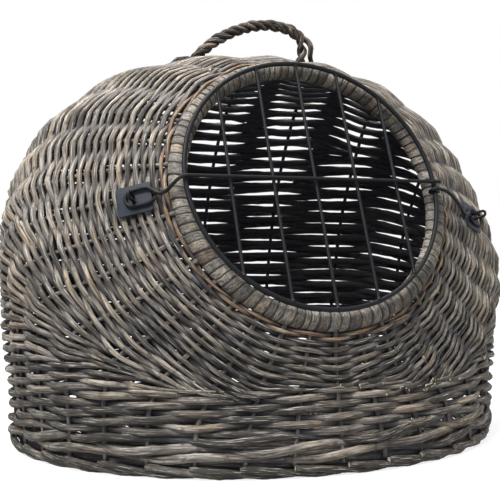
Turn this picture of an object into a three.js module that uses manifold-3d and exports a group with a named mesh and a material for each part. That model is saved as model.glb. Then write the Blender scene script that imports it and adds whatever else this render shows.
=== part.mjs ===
// A grey willow pet carrier: a domed basket on an oval floor, closed by a round wire door.
// Millimetres. +Z is up, the mouth faces -Y, and +X is the right hand of someone looking in.

import * as THREE from 'three';
import { mergeVertices } from 'three/addons/utils/BufferGeometryUtils.js';
import Module from 'manifold-3d';

const wasm = await Module();
wasm.setup();

const degrees = THREE.MathUtils.degToRad;

// Oval floor and the foot border that the basket stands on
const FLOOR_HALF_WIDTH = 227;
const FLOOR_HALF_DEPTH = 197;
const FLOOR_THICKNESS = 8;
const FLOOR_RAISE = 3;
const FLOOR_CROWN = 7;
const FOOT_HEIGHT = 14;
const FOOT_WIDTH = 18;
const FOOT_STROKE_DEPTH = 2;

// Mouth of the basket: a round rim that leans back
const MOUTH_RADIUS = 121;
const MOUTH_FORWARD = 137;
const MOUTH_HEIGHT = 235;
const MOUTH_TILT = degrees(22.5);
const RIM_RADIUS = 8.2;
const RIM_GROOVE = 0.7;
const RIM_WRAPS = 84;

// Wall: how far each stake keeps upright from the floor, how far it keeps
// the direction in which it leaves the rim, and that direction itself
const RISE_FRONT = 41;
const RISE_SIDE = 215;
const RISE_QUARTER = 250;
const RISE_BACK = 210;
const SWEEP_FRONT = 56;
const SWEEP_SIDE = 223;
const SWEEP_QUARTER = 232;
const SWEEP_BACK = 215;
const SHOULDER_FRONT = degrees(25);
const SHOULDER_SIDE = degrees(32);
const SHOULDER_QUARTER = degrees(33);
const SHOULDER_BACK = degrees(44);
const STAKE_PLACES = 36;
const BACK_PLACES = 6;
const STAKE_RADIUS = 2.75;
const WEAVE_THICKNESS = 5;
const WEAVE_RELIEF = 2.4;
const DOME_ROWS = 20;
const BAND_THICKNESS = 6;
const BAND_ROWS = 8;
const BAND_TOP = 72;

// Twisted handle over the dome
const HANDLE_BACK = 8;
const HANDLE_FOOT_TURN = degrees(16.5);
const HANDLE_REACH = 65;
const HANDLE_LEAN = 12;
const HANDLE_SLOPE = 32;
const STRAND_COUNT = 3;
const STRAND_RADIUS = 2.3;
const STRAND_SPACE = 0.8;
const TWIST_PITCH = 30;

// Wire door
const DOOR_INSET = 4;
const DOOR_RAISE = 2;
const DOOR_ASIDE = -2;
const DOOR_WIRE = 2.4;
const BAR_COUNT = 5;
const BAR_WIRE = 1.8;
const CROSSBAR_WIRE = 1.8;
const CROSSBAR_TAIL = 4;

// Hasp, staples and their plates
const HASP_WIRE = 1.6;
const HASP_DROP = 7;
const HASP_PLAY = 0.5;
const STAPLE_WIRE = 1.3;
const STAPLE_WIDTH = 5.4;
const STAPLE_HEIGHT = 14.5;
const CLINCH = 2.5;
const CLINCH_SLACK = 1.8;
const PLATE_LENGTH = 31;
const PLATE_HEIGHT = 26;
const PLATE_THICKNESS = 1.6;
const PLATE_CORNER = 2;
const HINGE_PLATE_REACH = 36;
const HINGE_PLATE_TURN = degrees(182.5);
const LATCH_PLATE_REACH = 61;
const LATCH_PLATE_TURN = degrees(-4.5);
const EYE_PLAY = 1;
const EYE_NECK = 9;
const HASP_EYE_SLACK = 12;
const HASP_EYE_FRONT = 5;

// Gap between pieces that touch
const CLEARANCE = 0.3;

// Facets
const WALL_STATIONS = 2 * STAKE_PLACES;
const BAND_STEPS = 2;
const DOME_STEPS = 10;
const STAKE_SIDES = 5;
const WIRE_SIDES = 6;
const RIM_SIDES = 6;
const FOOT_STATIONS = 3 * STAKE_PLACES;
const DOOR_STATIONS = 60;
const TURN_STEPS = 8;
const TWIST_STEPS = 10;
const PLATE_SEGMENTS = 4;
const HOLE_SIDES = 12;

// Colours and finishes
const willow = () => new THREE.MeshStandardMaterial({ color: 0x8f8375, roughness: 0.8, metalness: 0 });
const skein = () => new THREE.MeshStandardMaterial({ color: 0xa59a88, roughness: 0.75, metalness: 0 });
const rope = () => new THREE.MeshStandardMaterial({ color: 0x4a3f38, roughness: 0.8, metalness: 0 });
const wire = () => new THREE.MeshStandardMaterial({ color: 0x23262f, roughness: 0.45, metalness: 0.3 });
const plate = () => new THREE.MeshStandardMaterial({ color: 0x414857, roughness: 0.5, metalness: 0.3 });

// Directions of the mouth: across to the right, up along its plane, and out of the basket
const ACROSS = new THREE.Vector3(1, 0, 0);
const UP = new THREE.Vector3(0, Math.sin(MOUTH_TILT), Math.cos(MOUTH_TILT));
const OUT = new THREE.Vector3(0, -Math.cos(MOUTH_TILT), Math.sin(MOUTH_TILT));
const MOUTH_CENTRE = new THREE.Vector3(0, -MOUTH_FORWARD, MOUTH_HEIGHT);

// A point so far along each of some directions from an origin
function along(origin, ...steps) {
  const point = origin.clone();
  for (const [direction, distance] of steps) {
    point.addScaledVector(direction, distance);
  }
  return point;
}

// Value between low and high where a function changes sign
function solve(low, high, difference) {
  const rising = difference(high) > difference(low);
  for (let i = 0; i < 50; i += 1) {
    const middle = (low + high) / 2;
    if (difference(middle) > 0 === rising) {
      high = middle;
    } else {
      low = middle;
    }
  }
  return (low + high) / 2;
}

function turnAt(index, count) {
  return 2 * Math.PI * index / count;
}

// A wall measure that changes from the front to the side, and past the quarter to the back
function round(turn, front, side, quarter, back) {
  const w = Math.sin(turn) ** 2;
  if (Math.sin(turn) < 0) {
    return side + (front - side) * w;
  }
  return side * (1 - w) * (1 - 2 * w) + quarter * 4 * w * (1 - w) + back * w * (2 * w - 1);
}

function rimDirection(turn) {
  return along(new THREE.Vector3(), [ACROSS, Math.cos(turn)], [UP, Math.sin(turn)]);
}

// Path of the wall from the floor to the rim at one turn round the basket, -90 degrees being the front
function wallCurve(turn) {
  const foot = new THREE.Vector3(FLOOR_HALF_WIDTH * Math.cos(turn), FLOOR_HALF_DEPTH * Math.sin(turn), 0);
  const rise = round(turn, RISE_FRONT, RISE_SIDE, RISE_QUARTER, RISE_BACK);
  const sweep = round(turn, SWEEP_FRONT, SWEEP_SIDE, SWEEP_QUARTER, SWEEP_BACK);
  const shoulder = round(turn, SHOULDER_FRONT, SHOULDER_SIDE, SHOULDER_QUARTER, SHOULDER_BACK);
  const outward = rimDirection(turn);
  const rim = along(MOUTH_CENTRE, [outward, MOUTH_RADIUS]);
  const knee = foot.clone().setZ(rise);
  const brow = along(rim, [outward, sweep * Math.cos(shoulder)], [OUT, -sweep * Math.sin(shoulder)]);
  return new THREE.CubicBezierCurve3(foot, knee, brow, rim);
}

function wallNormal(turn, share) {
  const d = 1e-3;
  const level = wallCurve(turn + d).getPoint(share).sub(wallCurve(turn - d).getPoint(share));
  const rise = wallCurve(turn).getTangent(share);
  return level.cross(rise).normalize();
}

function wallPoint(turn, share, offset = 0) {
  return along(wallCurve(turn).getPoint(share), [wallNormal(turn, share), offset]);
}

function shareAtHeight(turn, height) {
  const curve = wallCurve(turn);
  return solve(0, 0.7, (share) => curve.getPoint(share).z - height);
}

function shareAtReach(turn, reach) {
  const curve = wallCurve(turn);
  return solve(0.4, 1, (share) => reach - curve.getPoint(share).distanceTo(curve.v3));
}

// Stations up the wall: the lower band, then the dome above it
function bandShares(turn) {
  const low = shareAtHeight(turn, FOOT_HEIGHT + CLEARANCE);
  const high = shareAtHeight(turn, BAND_TOP);
  return Array.from({ length: BAND_STEPS + 1 }, (_, i) => low + (high - low) * i / BAND_STEPS);
}

function domeShares(turn) {
  const low = shareAtHeight(turn, BAND_TOP + 2 * CLEARANCE);
  const high = shareAtReach(turn, RIM_RADIUS + CLEARANCE);
  return Array.from({ length: DOME_STEPS + 1 }, (_, i) => low + (high - low) * i / DOME_STEPS);
}

function closedGeometry(points, triangles) {
  const geometry = new THREE.BufferGeometry();
  const flat = points.flatMap((point) => point.toArray());
  geometry.setAttribute('position', new THREE.Float32BufferAttribute(flat, 3));
  geometry.setIndex(triangles);
  return geometry;
}

// Solid whose closed sections stand round a closed ring. A lay moves the ring on by that
// many stations for each time round the section, as a binding does.
function ringSolid(sections, lay = 0) {
  const count = sections.length;
  const sides = sections[0].length;
  const at = (i, j) => ((i + lay * Math.floor(j / sides)) % count) * sides + (j % sides);
  const triangles = [];
  for (let i = 0; i < count; i += 1) {
    for (let j = 0; j < sides; j += 1) {
      triangles.push(at(i, j), at(i + 1, j), at(i + 1, j + 1));
      triangles.push(at(i, j), at(i + 1, j + 1), at(i, j + 1));
    }
  }
  return closedGeometry(sections.flat(), triangles);
}

// Path through given stations, in even steps from each one to the next
class Stations extends THREE.Curve {
  constructor(points) {
    super();
    this.points = points;
  }

  getPoint(t) {
    const place = THREE.MathUtils.clamp(t, 0, 1) * (this.points.length - 1);
    const start = Math.min(Math.floor(place), this.points.length - 2);
    return this.points[start].clone().lerp(this.points[start + 1], place - start);
  }

  getUtoTmapping(u) {
    return u;
  }
}

function roundRod(points, radius, sides) {
  const corner = (_, i) => new THREE.Vector2(radius, 0).rotateAround(new THREE.Vector2(), turnAt(i, sides));
  const section = new THREE.Shape(Array.from({ length: sides }, corner));
  return new THREE.ExtrudeGeometry(section, { steps: points.length - 1, extrudePath: new Stations(points) });
}

function solidOf(geometry, matrix = new THREE.Matrix4()) {
  const bare = geometry.clone().applyMatrix4(matrix);
  bare.deleteAttribute('normal');
  bare.deleteAttribute('uv');
  const merged = mergeVertices(bare, 1e-4);
  return new wasm.Manifold(new wasm.Mesh({
    numProp: 3,
    vertProperties: new Float32Array(merged.attributes.position.array),
    triVerts: new Uint32Array(merged.index.array),
  }));
}

function geometryOf(solid) {
  const mesh = solid.getMesh();
  const geometry = new THREE.BufferGeometry();
  geometry.setAttribute('position', new THREE.BufferAttribute(mesh.vertProperties, 3));
  geometry.setIndex(new THREE.BufferAttribute(mesh.triVerts, 1));
  return geometry;
}

function piece(name, geometry, material) {
  const mesh = new THREE.Mesh(geometry, material);
  mesh.name = name;
  return mesh;
}

// Group with its own axes at a place on the basket
function frameAt(origin, x, y, z) {
  const group = new THREE.Group();
  group.position.copy(origin);
  group.quaternion.setFromRotationMatrix(new THREE.Matrix4().makeBasis(x, y, z));
  group.updateMatrixWorld();
  return group;
}

// Floor: a crowned oval panel inside the foot border
function floorPanel() {
  const low = FLOOR_RAISE;
  const high = FLOOR_RAISE + FLOOR_THICKNESS;
  const crown = (r) => FLOOR_CROWN * (1 - r * r);
  const radii = [0, 0.45, 0.8, 1];
  const under = radii.map((r) => new THREE.Vector2(r, low + crown(r)));
  const over = radii.map((r) => new THREE.Vector2(r, high + crown(r))).reverse();
  const geometry = new THREE.LatheGeometry([...under, ...over], STAKE_PLACES);
  const inset = FOOT_WIDTH / 2 + CLEARANCE;
  geometry.rotateX(Math.PI / 2);
  geometry.scale(FLOOR_HALF_WIDTH - inset, FLOOR_HALF_DEPTH - inset, 1);
  return piece('floor_panel', geometry, willow());
}

// Foot border: the stake ends laid down one over the next, as slanting strokes
function footBorder() {
  const half = FOOT_WIDTH / 2;
  const sections = [];
  for (let i = 0; i < FOOT_STATIONS; i += 1) {
    const turn = turnAt(i, FOOT_STATIONS);
    const point = (out, z) => new THREE.Vector3(
      (FLOOR_HALF_WIDTH + out) * Math.cos(turn),
      (FLOOR_HALF_DEPTH + out) * Math.sin(turn),
      z,
    );
    const stroke = (lag) => FOOT_STROKE_DEPTH * (((i + lag) % 3) / 2);
    sections.push([
      point(-half, FOOT_HEIGHT * 0.2),
      point(-half * 0.7, 0),
      point(half * 0.7, 0),
      point(half - stroke(0), FOOT_HEIGHT * 0.3),
      point(half - stroke(1), FOOT_HEIGHT * 0.65),
      point(half * 0.6, FOOT_HEIGHT - stroke(2)),
      point(-half * 0.6, FOOT_HEIGHT - stroke(2)),
      point(-half, FOOT_HEIGHT * 0.7),
    ]);
  }
  return piece('foot_border', ringSolid(sections), willow());
}

// Woven layer between two faces of the wall. Its rows pass by turns before and behind
// the stakes, and the outer face has their relief.
function wovenLayer(shares, rows, thickness) {
  const inner = STAKE_RADIUS + CLEARANCE;
  const outer = inner + thickness;
  const sections = [];
  for (let i = 0; i < WALL_STATIONS; i += 1) {
    const turn = turnAt(i, WALL_STATIONS);
    const stations = shares(turn);
    const height = stations.at(-1) - stations[0];
    const face = [];
    for (let j = 0; j <= rows; j += 1) {
      const behind = (1 - Math.cos(Math.PI * (i / 2 + j))) / 2;
      const dip = j % rows === 0 ? 0 : WEAVE_RELIEF * behind;
      face.push(wallPoint(turn, stations[0] + height * j / rows, outer - dip));
    }
    const back = stations.map((share) => wallPoint(turn, share, inner)).reverse();
    sections.push([...face, ...back]);
  }
  return ringSolid(sections);
}

// Places of the stakes: at the back only every second one is taken
function stakePlaces() {
  const back = Math.round(STAKE_PLACES / 4);
  const places = Array.from({ length: STAKE_PLACES }, (_, place) => place);
  return places.filter((place) => Math.abs(place - back) >= BACK_PLACES || (place - back) % 2 === 0);
}

function stake(place, index) {
  const turn = turnAt(place, STAKE_PLACES);
  const shares = [...bandShares(turn).slice(0, -1), ...domeShares(turn)];
  const points = shares.map((share) => wallPoint(turn, share));
  const name = `stake_${String(index + 1).padStart(2, '0')}`;
  return piece(name, roundRod(points, STAKE_RADIUS, STAKE_SIDES), willow());
}

// Rim: a stout hoop bound all round with split willow
function rimHoop() {
  const count = 2 * RIM_WRAPS;
  const lay = 2;
  const sections = [];
  for (let i = 0; i < count; i += 1) {
    const section = [];
    for (let j = 0; j < RIM_SIDES; j += 1) {
      const turn = turnAt(i + lay * j / RIM_SIDES, count);
      const around = turnAt(j, RIM_SIDES);
      const radius = RIM_RADIUS - (i % 2) * RIM_GROOVE;
      const outward = rimDirection(turn);
      const reach = MOUTH_RADIUS + radius * Math.cos(around);
      section.push(along(MOUTH_CENTRE, [outward, reach], [OUT, radius * Math.sin(around)]));
    }
    sections.push(section);
  }
  return piece('rim_hoop', ringSolid(sections, lay), skein());
}

// Handle: strands twisted together along a bow, with both feet pushed through the weave
function handleFoot(turn) {
  const curve = wallCurve(turn);
  const share = solve(0.6, 1, (s) => curve.getPoint(s).y - HANDLE_BACK);
  return curve.getPoint(share);
}

const handleLeft = handleFoot(Math.PI / 2 + HANDLE_FOOT_TURN);
const handleRight = handleFoot(Math.PI / 2 - HANDLE_FOOT_TURN);
const handleBow = new THREE.CubicBezierCurve3(
  handleLeft,
  handleLeft.clone().add(new THREE.Vector3(HANDLE_SLOPE, 0, HANDLE_REACH - HANDLE_LEAN)),
  handleRight.clone().add(new THREE.Vector3(0, 0, HANDLE_REACH + HANDLE_LEAN)),
  handleRight,
);
const TWIST_RADIUS = STRAND_RADIUS + STRAND_SPACE;

function handleStrand(index) {
  const turns = Math.round(handleBow.getLength() / TWIST_PITCH);
  const steps = TWIST_STEPS * turns;
  const points = [];
  for (let i = 0; i <= steps; i += 1) {
    const share = i / steps;
    const forward = handleBow.getTangentAt(share);
    const side = new THREE.Vector3(0, 1, 0);
    const above = side.clone().cross(forward);
    const angle = 2 * Math.PI * (share * turns + index / STRAND_COUNT);
    const lift = TWIST_RADIUS * Math.cos(angle);
    const shift = TWIST_RADIUS * Math.sin(angle);
    points.push(along(handleBow.getPointAt(share), [above, lift], [side, shift]));
  }
  return piece(`handle_strand_${index + 1}`, roundRod(points, STRAND_RADIUS, STAKE_SIDES), rope());
}

// Hole through the weave for one foot of the handle, following the bow
function handleHole(foot) {
  const depth = 3 * (STAKE_RADIUS + WEAVE_THICKNESS);
  const step = (i) => Math.abs(foot - i * depth / (2 * handleBow.getLength()));
  const inward = handleBow.getTangentAt(foot).multiplyScalar(foot > 0 ? 1 : -1);
  const points = [along(handleBow.getPointAt(foot), [inward, depth])];
  for (let i = 0; i <= 4; i += 1) {
    points.push(handleBow.getPointAt(step(i)));
  }
  const radius = (TWIST_RADIUS + STRAND_RADIUS + CLEARANCE) / Math.cos(Math.PI / HOLE_SIDES);
  return solidOf(roundRod(points, radius, HOLE_SIDES));
}

// Place of a fitting on the outside of the wall: x to the mouth, y up, z out of the wall
function fittingFrame(turn, reach) {
  const share = shareAtReach(turn, reach);
  const outside = STAKE_RADIUS + CLEARANCE + WEAVE_THICKNESS + CLEARANCE + PLATE_THICKNESS;
  const z = wallNormal(turn, share);
  const y = along(UP, [z, -UP.dot(z)]).normalize();
  const x = y.clone().cross(z);
  const hand = Math.sign(-x.x * Math.cos(turn));
  return { group: frameAt(wallPoint(turn, share, outside), x, y, z), hand };
}

const hinge = fittingFrame(HINGE_PLATE_TURN, HINGE_PLATE_REACH);
const latch = fittingFrame(LATCH_PLATE_TURN, LATCH_PLATE_REACH);

function fittingPlate(name) {
  const w = PLATE_LENGTH / 2 - PLATE_CORNER;
  const h = PLATE_HEIGHT / 2 - PLATE_CORNER;
  const outline = new THREE.Shape();
  outline.absarc(w, h, PLATE_CORNER, 0, Math.PI / 2);
  outline.absarc(-w, h, PLATE_CORNER, Math.PI / 2, Math.PI);
  outline.absarc(-w, -h, PLATE_CORNER, Math.PI, 1.5 * Math.PI);
  outline.absarc(w, -h, PLATE_CORNER, 1.5 * Math.PI, 2 * Math.PI);
  for (const side of [-1, 1]) {
    const hole = new THREE.Path();
    hole.absarc(0, side * STAPLE_WIDTH / 2, STAPLE_WIRE + CLEARANCE, 0, 2 * Math.PI);
    outline.holes.push(hole);
  }
  const geometry = new THREE.ExtrudeGeometry(outline, {
    depth: PLATE_THICKNESS,
    bevelEnabled: false,
    curveSegments: PLATE_SEGMENTS,
  });
  return piece(name, geometry.translate(0, 0, -PLATE_THICKNESS), plate());
}

// Staple: a bow whose legs pass the plate and the weave, and are bent apart inside
function staplePoints() {
  const half = STAPLE_WIDTH / 2;
  const crown = STAPLE_HEIGHT - STAPLE_WIRE - half;
  const bend = 2 * STAPLE_WIRE;
  const inside = -(PLATE_THICKNESS + CLEARANCE + WEAVE_THICKNESS + CLINCH_SLACK + STAPLE_WIRE);
  const leg = [
    new THREE.Vector3(bend + CLINCH, half, inside),
    new THREE.Vector3(bend, half, inside),
    new THREE.Vector3(bend * 0.3, half, inside + bend * 0.3),
    new THREE.Vector3(0, half, inside + bend),
  ];
  const points = [...leg];
  for (let i = 0; i <= TURN_STEPS; i += 1) {
    const angle = Math.PI * i / TURN_STEPS;
    points.push(new THREE.Vector3(0, half * Math.cos(angle), crown + half * Math.sin(angle)));
  }
  const mirror = leg.map((point) => new THREE.Vector3(-point.x, -point.y, point.z)).reverse();
  return [...points, ...mirror];
}

function staple(name) {
  return piece(name, roundRod(staplePoints(), STAPLE_WIRE, WIRE_SIDES), wire());
}

// Holes through the weave for the two legs of a staple
function legHoles(fitting) {
  const depth = 3 * (PLATE_THICKNESS + WEAVE_THICKNESS);
  const holes = [-1, 1].map((side) => {
    const y = side * STAPLE_WIDTH / 2;
    const ends = [new THREE.Vector3(0, y, -depth), new THREE.Vector3(0, y, 0)];
    return solidOf(roundRod(ends, STAPLE_WIRE + CLEARANCE, HOLE_SIDES), fitting.group.matrixWorld);
  });
  return holes[0].add(holes[1]);
}

// Dome: the woven wall above the band, pierced for the handle and the staples
function wovenDome() {
  const cuts = [handleHole(0), handleHole(1), legHoles(hinge), legHoles(latch)];
  const layer = solidOf(wovenLayer(domeShares, DOME_ROWS, WEAVE_THICKNESS));
  const solid = cuts.reduce((body, cut) => body.subtract(cut), layer);
  return piece('woven_dome', geometryOf(solid), willow());
}

function wovenBand() {
  return piece('wale_band', wovenLayer(bandShares, BAND_ROWS, BAND_THICKNESS), willow());
}

// Door: a ring that stands off the rim by the wire of the hasp that loops behind it
const DOOR_RADIUS = MOUTH_RADIUS - DOOR_INSET;
const DOOR_STANDOFF = RIM_RADIUS + DOOR_WIRE + HASP_PLAY + 2 * HASP_WIRE + CLEARANCE;
const doorCentre = along(MOUTH_CENTRE, [OUT, DOOR_STANDOFF], [UP, DOOR_RAISE], [ACROSS, DOOR_ASIDE]);
const doorFrame = frameAt(doorCentre, ACROSS, UP, OUT);

function doorRing() {
  const geometry = new THREE.TorusGeometry(DOOR_RADIUS, DOOR_WIRE, WIRE_SIDES, DOOR_STATIONS);
  return piece('door_frame', geometry, wire());
}

// Upright bars, coped to the ring at both ends
function doorBar(index) {
  const spacing = 2 * DOOR_RADIUS / (BAR_COUNT + 1);
  const x = (index - (BAR_COUNT - 1) / 2) * spacing;
  const length = 2 * Math.sqrt(DOOR_RADIUS ** 2 - x ** 2);
  const rod = new THREE.CylinderGeometry(BAR_WIRE, BAR_WIRE, length, WIRE_SIDES).translate(x, 0, 0);
  const seat = new THREE.TorusGeometry(DOOR_RADIUS, DOOR_WIRE + CLEARANCE, WIRE_SIDES, DOOR_STATIONS);
  return piece(`door_bar_${index + 1}`, geometryOf(solidOf(rod).subtract(solidOf(seat))), wire());
}

// Oblong eye over a staple, in the axes of its plate, from the neck round the tip and back
function eyePoints(wireRadius, slack, front, hand) {
  const half = STAPLE_WIDTH / 2 + STAPLE_WIRE + EYE_PLAY + wireRadius;
  const height = wireRadius + CLEARANCE;
  const place = (x, y) => new THREE.Vector3(hand * x, y, height);
  const points = [
    place(front + EYE_NECK, 0),
    place(front + EYE_NECK * 0.6, half * 0.4),
    place(front, half),
  ];
  for (let i = 0; i <= TURN_STEPS; i += 1) {
    const angle = Math.PI * i / TURN_STEPS;
    points.push(place(-slack - half * Math.sin(angle), half * Math.cos(angle)));
  }
  points.push(place(front, -half));
  points.push(place(front + EYE_NECK * 0.7, -(2 * wireRadius + CLEARANCE)));
  return points;
}

function toDoor(fitting, points) {
  return points.map((point) => doorFrame.worldToLocal(fitting.group.localToWorld(point.clone())));
}

// Free run of wire from a point and direction on the door to the neck of an eye
function armPoints(start, direction, neck, heading) {
  const span = start.distanceTo(neck) / 3;
  const curve = new THREE.CubicBezierCurve3(
    start,
    along(start, [direction, span]),
    along(neck, [heading, -span]),
    neck,
  );
  return curve.getPoints(TURN_STEPS).slice(0, -1);
}

// The hinge eye clears the crown of its staple as the door swings on the tip of the eye
const EYE_HALF = STAPLE_WIDTH / 2 + STAPLE_WIRE + EYE_PLAY + CROSSBAR_WIRE;
const SWING_RADIUS = Math.hypot(EYE_HALF + STAPLE_WIRE, STAPLE_HEIGHT) + CROSSBAR_WIRE + EYE_PLAY;
const HINGE_EYE_FRONT = SWING_RADIUS - EYE_HALF;

function doorCrossbar() {
  const z = DOOR_WIRE + CROSSBAR_WIRE + CLEARANCE;
  const right = new THREE.Vector3(DOOR_RADIUS + CROSSBAR_TAIL, 0, z);
  const left = new THREE.Vector3(-DOOR_RADIUS, 0, z);
  const eye = toDoor(hinge, eyePoints(CROSSBAR_WIRE, 0, HINGE_EYE_FRONT, hinge.hand));
  const heading = eye[1].clone().sub(eye[0]).normalize();
  const arm = armPoints(left, new THREE.Vector3(-1, 0, 0), eye[0], heading);
  return piece('door_crossbar', roundRod([right, ...arm, ...eye], CROSSBAR_WIRE, WIRE_SIDES), wire());
}

// Hasp: one wire, hooked round the door ring and run out to an eye over the latch staple
function latchHasp() {
  const loop = DOOR_WIRE + HASP_PLAY + HASP_WIRE;
  const x = Math.sqrt(DOOR_RADIUS ** 2 - HASP_DROP ** 2);
  const hook = [];
  for (let i = 0; i <= TURN_STEPS; i += 1) {
    const angle = degrees(350 - 260 * i / TURN_STEPS);
    hook.push(new THREE.Vector3(x + loop * Math.cos(angle), -HASP_DROP, loop * Math.sin(angle)));
  }
  const eye = toDoor(latch, eyePoints(HASP_WIRE, HASP_EYE_SLACK, HASP_EYE_FRONT, latch.hand));
  const heading = eye[1].clone().sub(eye[0]).normalize();
  const arm = armPoints(hook.at(-1), new THREE.Vector3(1, 0, 0), eye[0], heading);
  return piece('latch_hasp', roundRod([...hook, ...arm.slice(1), ...eye], HASP_WIRE, WIRE_SIDES), wire());
}

const carrier = new THREE.Group();
carrier.add(floorPanel(), footBorder(), wovenBand(), wovenDome(), rimHoop());
stakePlaces().forEach((place, index) => carrier.add(stake(place, index)));
for (let i = 0; i < STRAND_COUNT; i += 1) {
  carrier.add(handleStrand(i));
}
hinge.group.add(fittingPlate('hinge_plate'), staple('hinge_staple'));
latch.group.add(fittingPlate('latch_plate'), staple('latch_staple'));
doorFrame.add(doorRing(), doorCrossbar(), latchHasp());
for (let i = 0; i < BAR_COUNT; i += 1) {
  doorFrame.add(doorBar(i));
}
carrier.add(hinge.group, latch.group, doorFrame);

export default carrier;
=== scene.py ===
"""Looks of a grey willow pet carrier: woven wall, bound rim, twisted handle and wire door."""

import logging
import math
from collections.abc import Sequence
from dataclasses import dataclass
from enum import Enum
from typing import Any, Optional

import bpy
import numpy as np
from mathutils import Matrix, Vector


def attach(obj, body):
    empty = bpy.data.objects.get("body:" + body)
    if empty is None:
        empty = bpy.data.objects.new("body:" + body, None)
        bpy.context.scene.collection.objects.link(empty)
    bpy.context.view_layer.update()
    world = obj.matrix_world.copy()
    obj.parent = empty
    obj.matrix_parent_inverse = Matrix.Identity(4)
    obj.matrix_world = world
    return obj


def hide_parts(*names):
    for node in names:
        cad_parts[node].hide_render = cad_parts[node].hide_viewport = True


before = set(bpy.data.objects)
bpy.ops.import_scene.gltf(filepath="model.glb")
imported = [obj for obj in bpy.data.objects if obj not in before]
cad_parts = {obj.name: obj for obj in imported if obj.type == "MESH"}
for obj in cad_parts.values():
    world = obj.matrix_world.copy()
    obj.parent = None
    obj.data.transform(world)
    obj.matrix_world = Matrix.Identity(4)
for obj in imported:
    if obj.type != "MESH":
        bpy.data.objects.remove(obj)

LOG = logging.getLogger("carrier")
SEED = 11
MM = 0.001
FULL_TURN = 2 * math.pi
BACK = math.pi / 2
SMOOTH_ANGLE = math.radians(50)
WHITE = (1.0, 1.0, 1.0, 1.0)


class Body(Enum):
    """Bodies of the carrier that move by themselves."""

    BASKET = "basket"
    DOOR = "door"
    HASP = "hasp"


class Slot(Enum):
    """Material slots of the record."""

    WILLOW = "willow"
    RIM = "rim_binding"
    HANDLE = "handle"
    WIRE = "wire"
    PLATE = "plate"


def linear(code: str) -> tuple[float, float, float, float]:
    """Turn an sRGB hex colour into linear values.

    Args:
        code: Colour such as "#8a7f72".

    Returns:
        Red, green, blue and alpha, linear.
    """
    parts = [int(code[i:i + 2], 16) / 255 for i in (1, 3, 5)]
    values = [c / 12.92 if c <= 0.04045 else ((c + 0.055) / 1.055) ** 2.4 for c in parts]
    return (values[0], values[1], values[2], 1.0)


def add_node(tree: bpy.types.NodeTree, kind: str, inputs: Optional[dict[Any, Any]] = None,
             ramp: Optional[list[tuple[float, str]]] = None, **settings: Any) -> bpy.types.Node:
    """Add a node with its settings, values and links.

    Args:
        tree: Node tree that gets the node.
        kind: Node type.
        inputs: Value or output socket for each input, by name or number.
        ramp: Stops of a colour ramp as position and hex colour.
        settings: Properties of the node.

    Returns:
        The new node.
    """
    node = tree.nodes.new(kind)
    for key, value in settings.items():
        setattr(node, key, value)
    for key, value in (inputs or {}).items():
        if isinstance(value, bpy.types.NodeSocket):
            tree.links.new(value, node.inputs[key])
        else:
            node.inputs[key].default_value = value
    if ramp:
        stops = node.color_ramp.elements
        while len(stops) < len(ramp):
            stops.new(1.0)
        for stop, (place, code) in zip(stops, ramp):
            stop.position = place
            stop.color = linear(code)
    return node


def new_finish(name: str) -> bpy.types.Material:
    """Start a material with an empty node tree.

    Args:
        name: Name of the finish.

    Returns:
        The new material.
    """
    material = bpy.data.materials.new(name)
    material.use_nodes = True
    material.node_tree.nodes.clear()
    return material


def looked_at(tree: bpy.types.NodeTree) -> bpy.types.NodeSocket:
    """Tell a look at the surface from light that only bounces off it.

    Args:
        tree: Node tree that asks.

    Returns:
        Socket that gives 1 to the camera and to glossy reflections, and 0 to all other light.
    """
    path = add_node(tree, "ShaderNodeLightPath")
    seen = add_node(tree, "ShaderNodeMath", {
        0: path.outputs["Is Camera Ray"], 1: path.outputs["Is Glossy Ray"]}, operation="MAXIMUM")
    return seen.outputs[0]


def deselect() -> None:
    """Leave object mode with nothing selected."""
    if bpy.context.object and bpy.context.object.mode != "OBJECT":
        bpy.ops.object.mode_set(mode="OBJECT")
    bpy.ops.object.select_all(action="DESELECT")


def add_object(name: str, data: bpy.types.ID) -> bpy.types.Object:
    """Put data into the scene as an object at the origin.

    Args:
        name: Name of the object.
        data: Mesh, curve, camera or light.

    Returns:
        The new object.
    """
    item = bpy.data.objects.new(name, data)
    bpy.context.scene.collection.objects.link(item)
    return item


def dress(piece: bpy.types.Object, material: bpy.types.Material, body: Body,
          nodes: list[str]) -> None:
    """Give a piece its finish and its place in the frame.

    Args:
        piece: Finished mesh object.
        material: Finish of the piece.
        body: Body that the piece moves with.
        nodes: CAD nodes that the piece stands for.
    """
    piece.data.materials.clear()
    piece.data.materials.append(material)
    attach(piece, body.value)
    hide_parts(*nodes)
    faces = sum(len(p.vertices) - 2 for p in piece.data.polygons)
    LOG.info("%s: %d triangles", piece.name, faces)


def unit(vectors: np.ndarray) -> np.ndarray:
    """Bring vectors to length one."""
    return vectors / np.linalg.norm(vectors, axis=-1, keepdims=True)


def run_lengths(path: np.ndarray) -> np.ndarray:
    """Length of a path up to each of its points."""
    return np.concatenate([[0.0], np.cumsum(np.linalg.norm(np.diff(path, axis=0), axis=1))])


def ramp_up(value: np.ndarray, start: float, span: float) -> np.ndarray:
    """Even climb from 0 at the start to 1 after the span."""
    return np.clip((value - start) / span, 0, 1)


def soften(share: np.ndarray) -> np.ndarray:
    """Round both ends of a climb from 0 to 1."""
    return share * share * (3 - 2 * share)


def bezier(knots: Sequence[np.ndarray], t: np.ndarray) -> np.ndarray:
    """Points of a cubic curve.

    Args:
        knots: Start, its handle, the handle of the end, and the end.
        t: Shares of the way, with one number on the last axis.

    Returns:
        One point for each share.
    """
    start, leave, arrive, end = knots
    return (1 - t) ** 3 * start + 3 * t * (1 - t) ** 2 * leave + 3 * t * t * (1 - t) * arrive + t ** 3 * end


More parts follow.
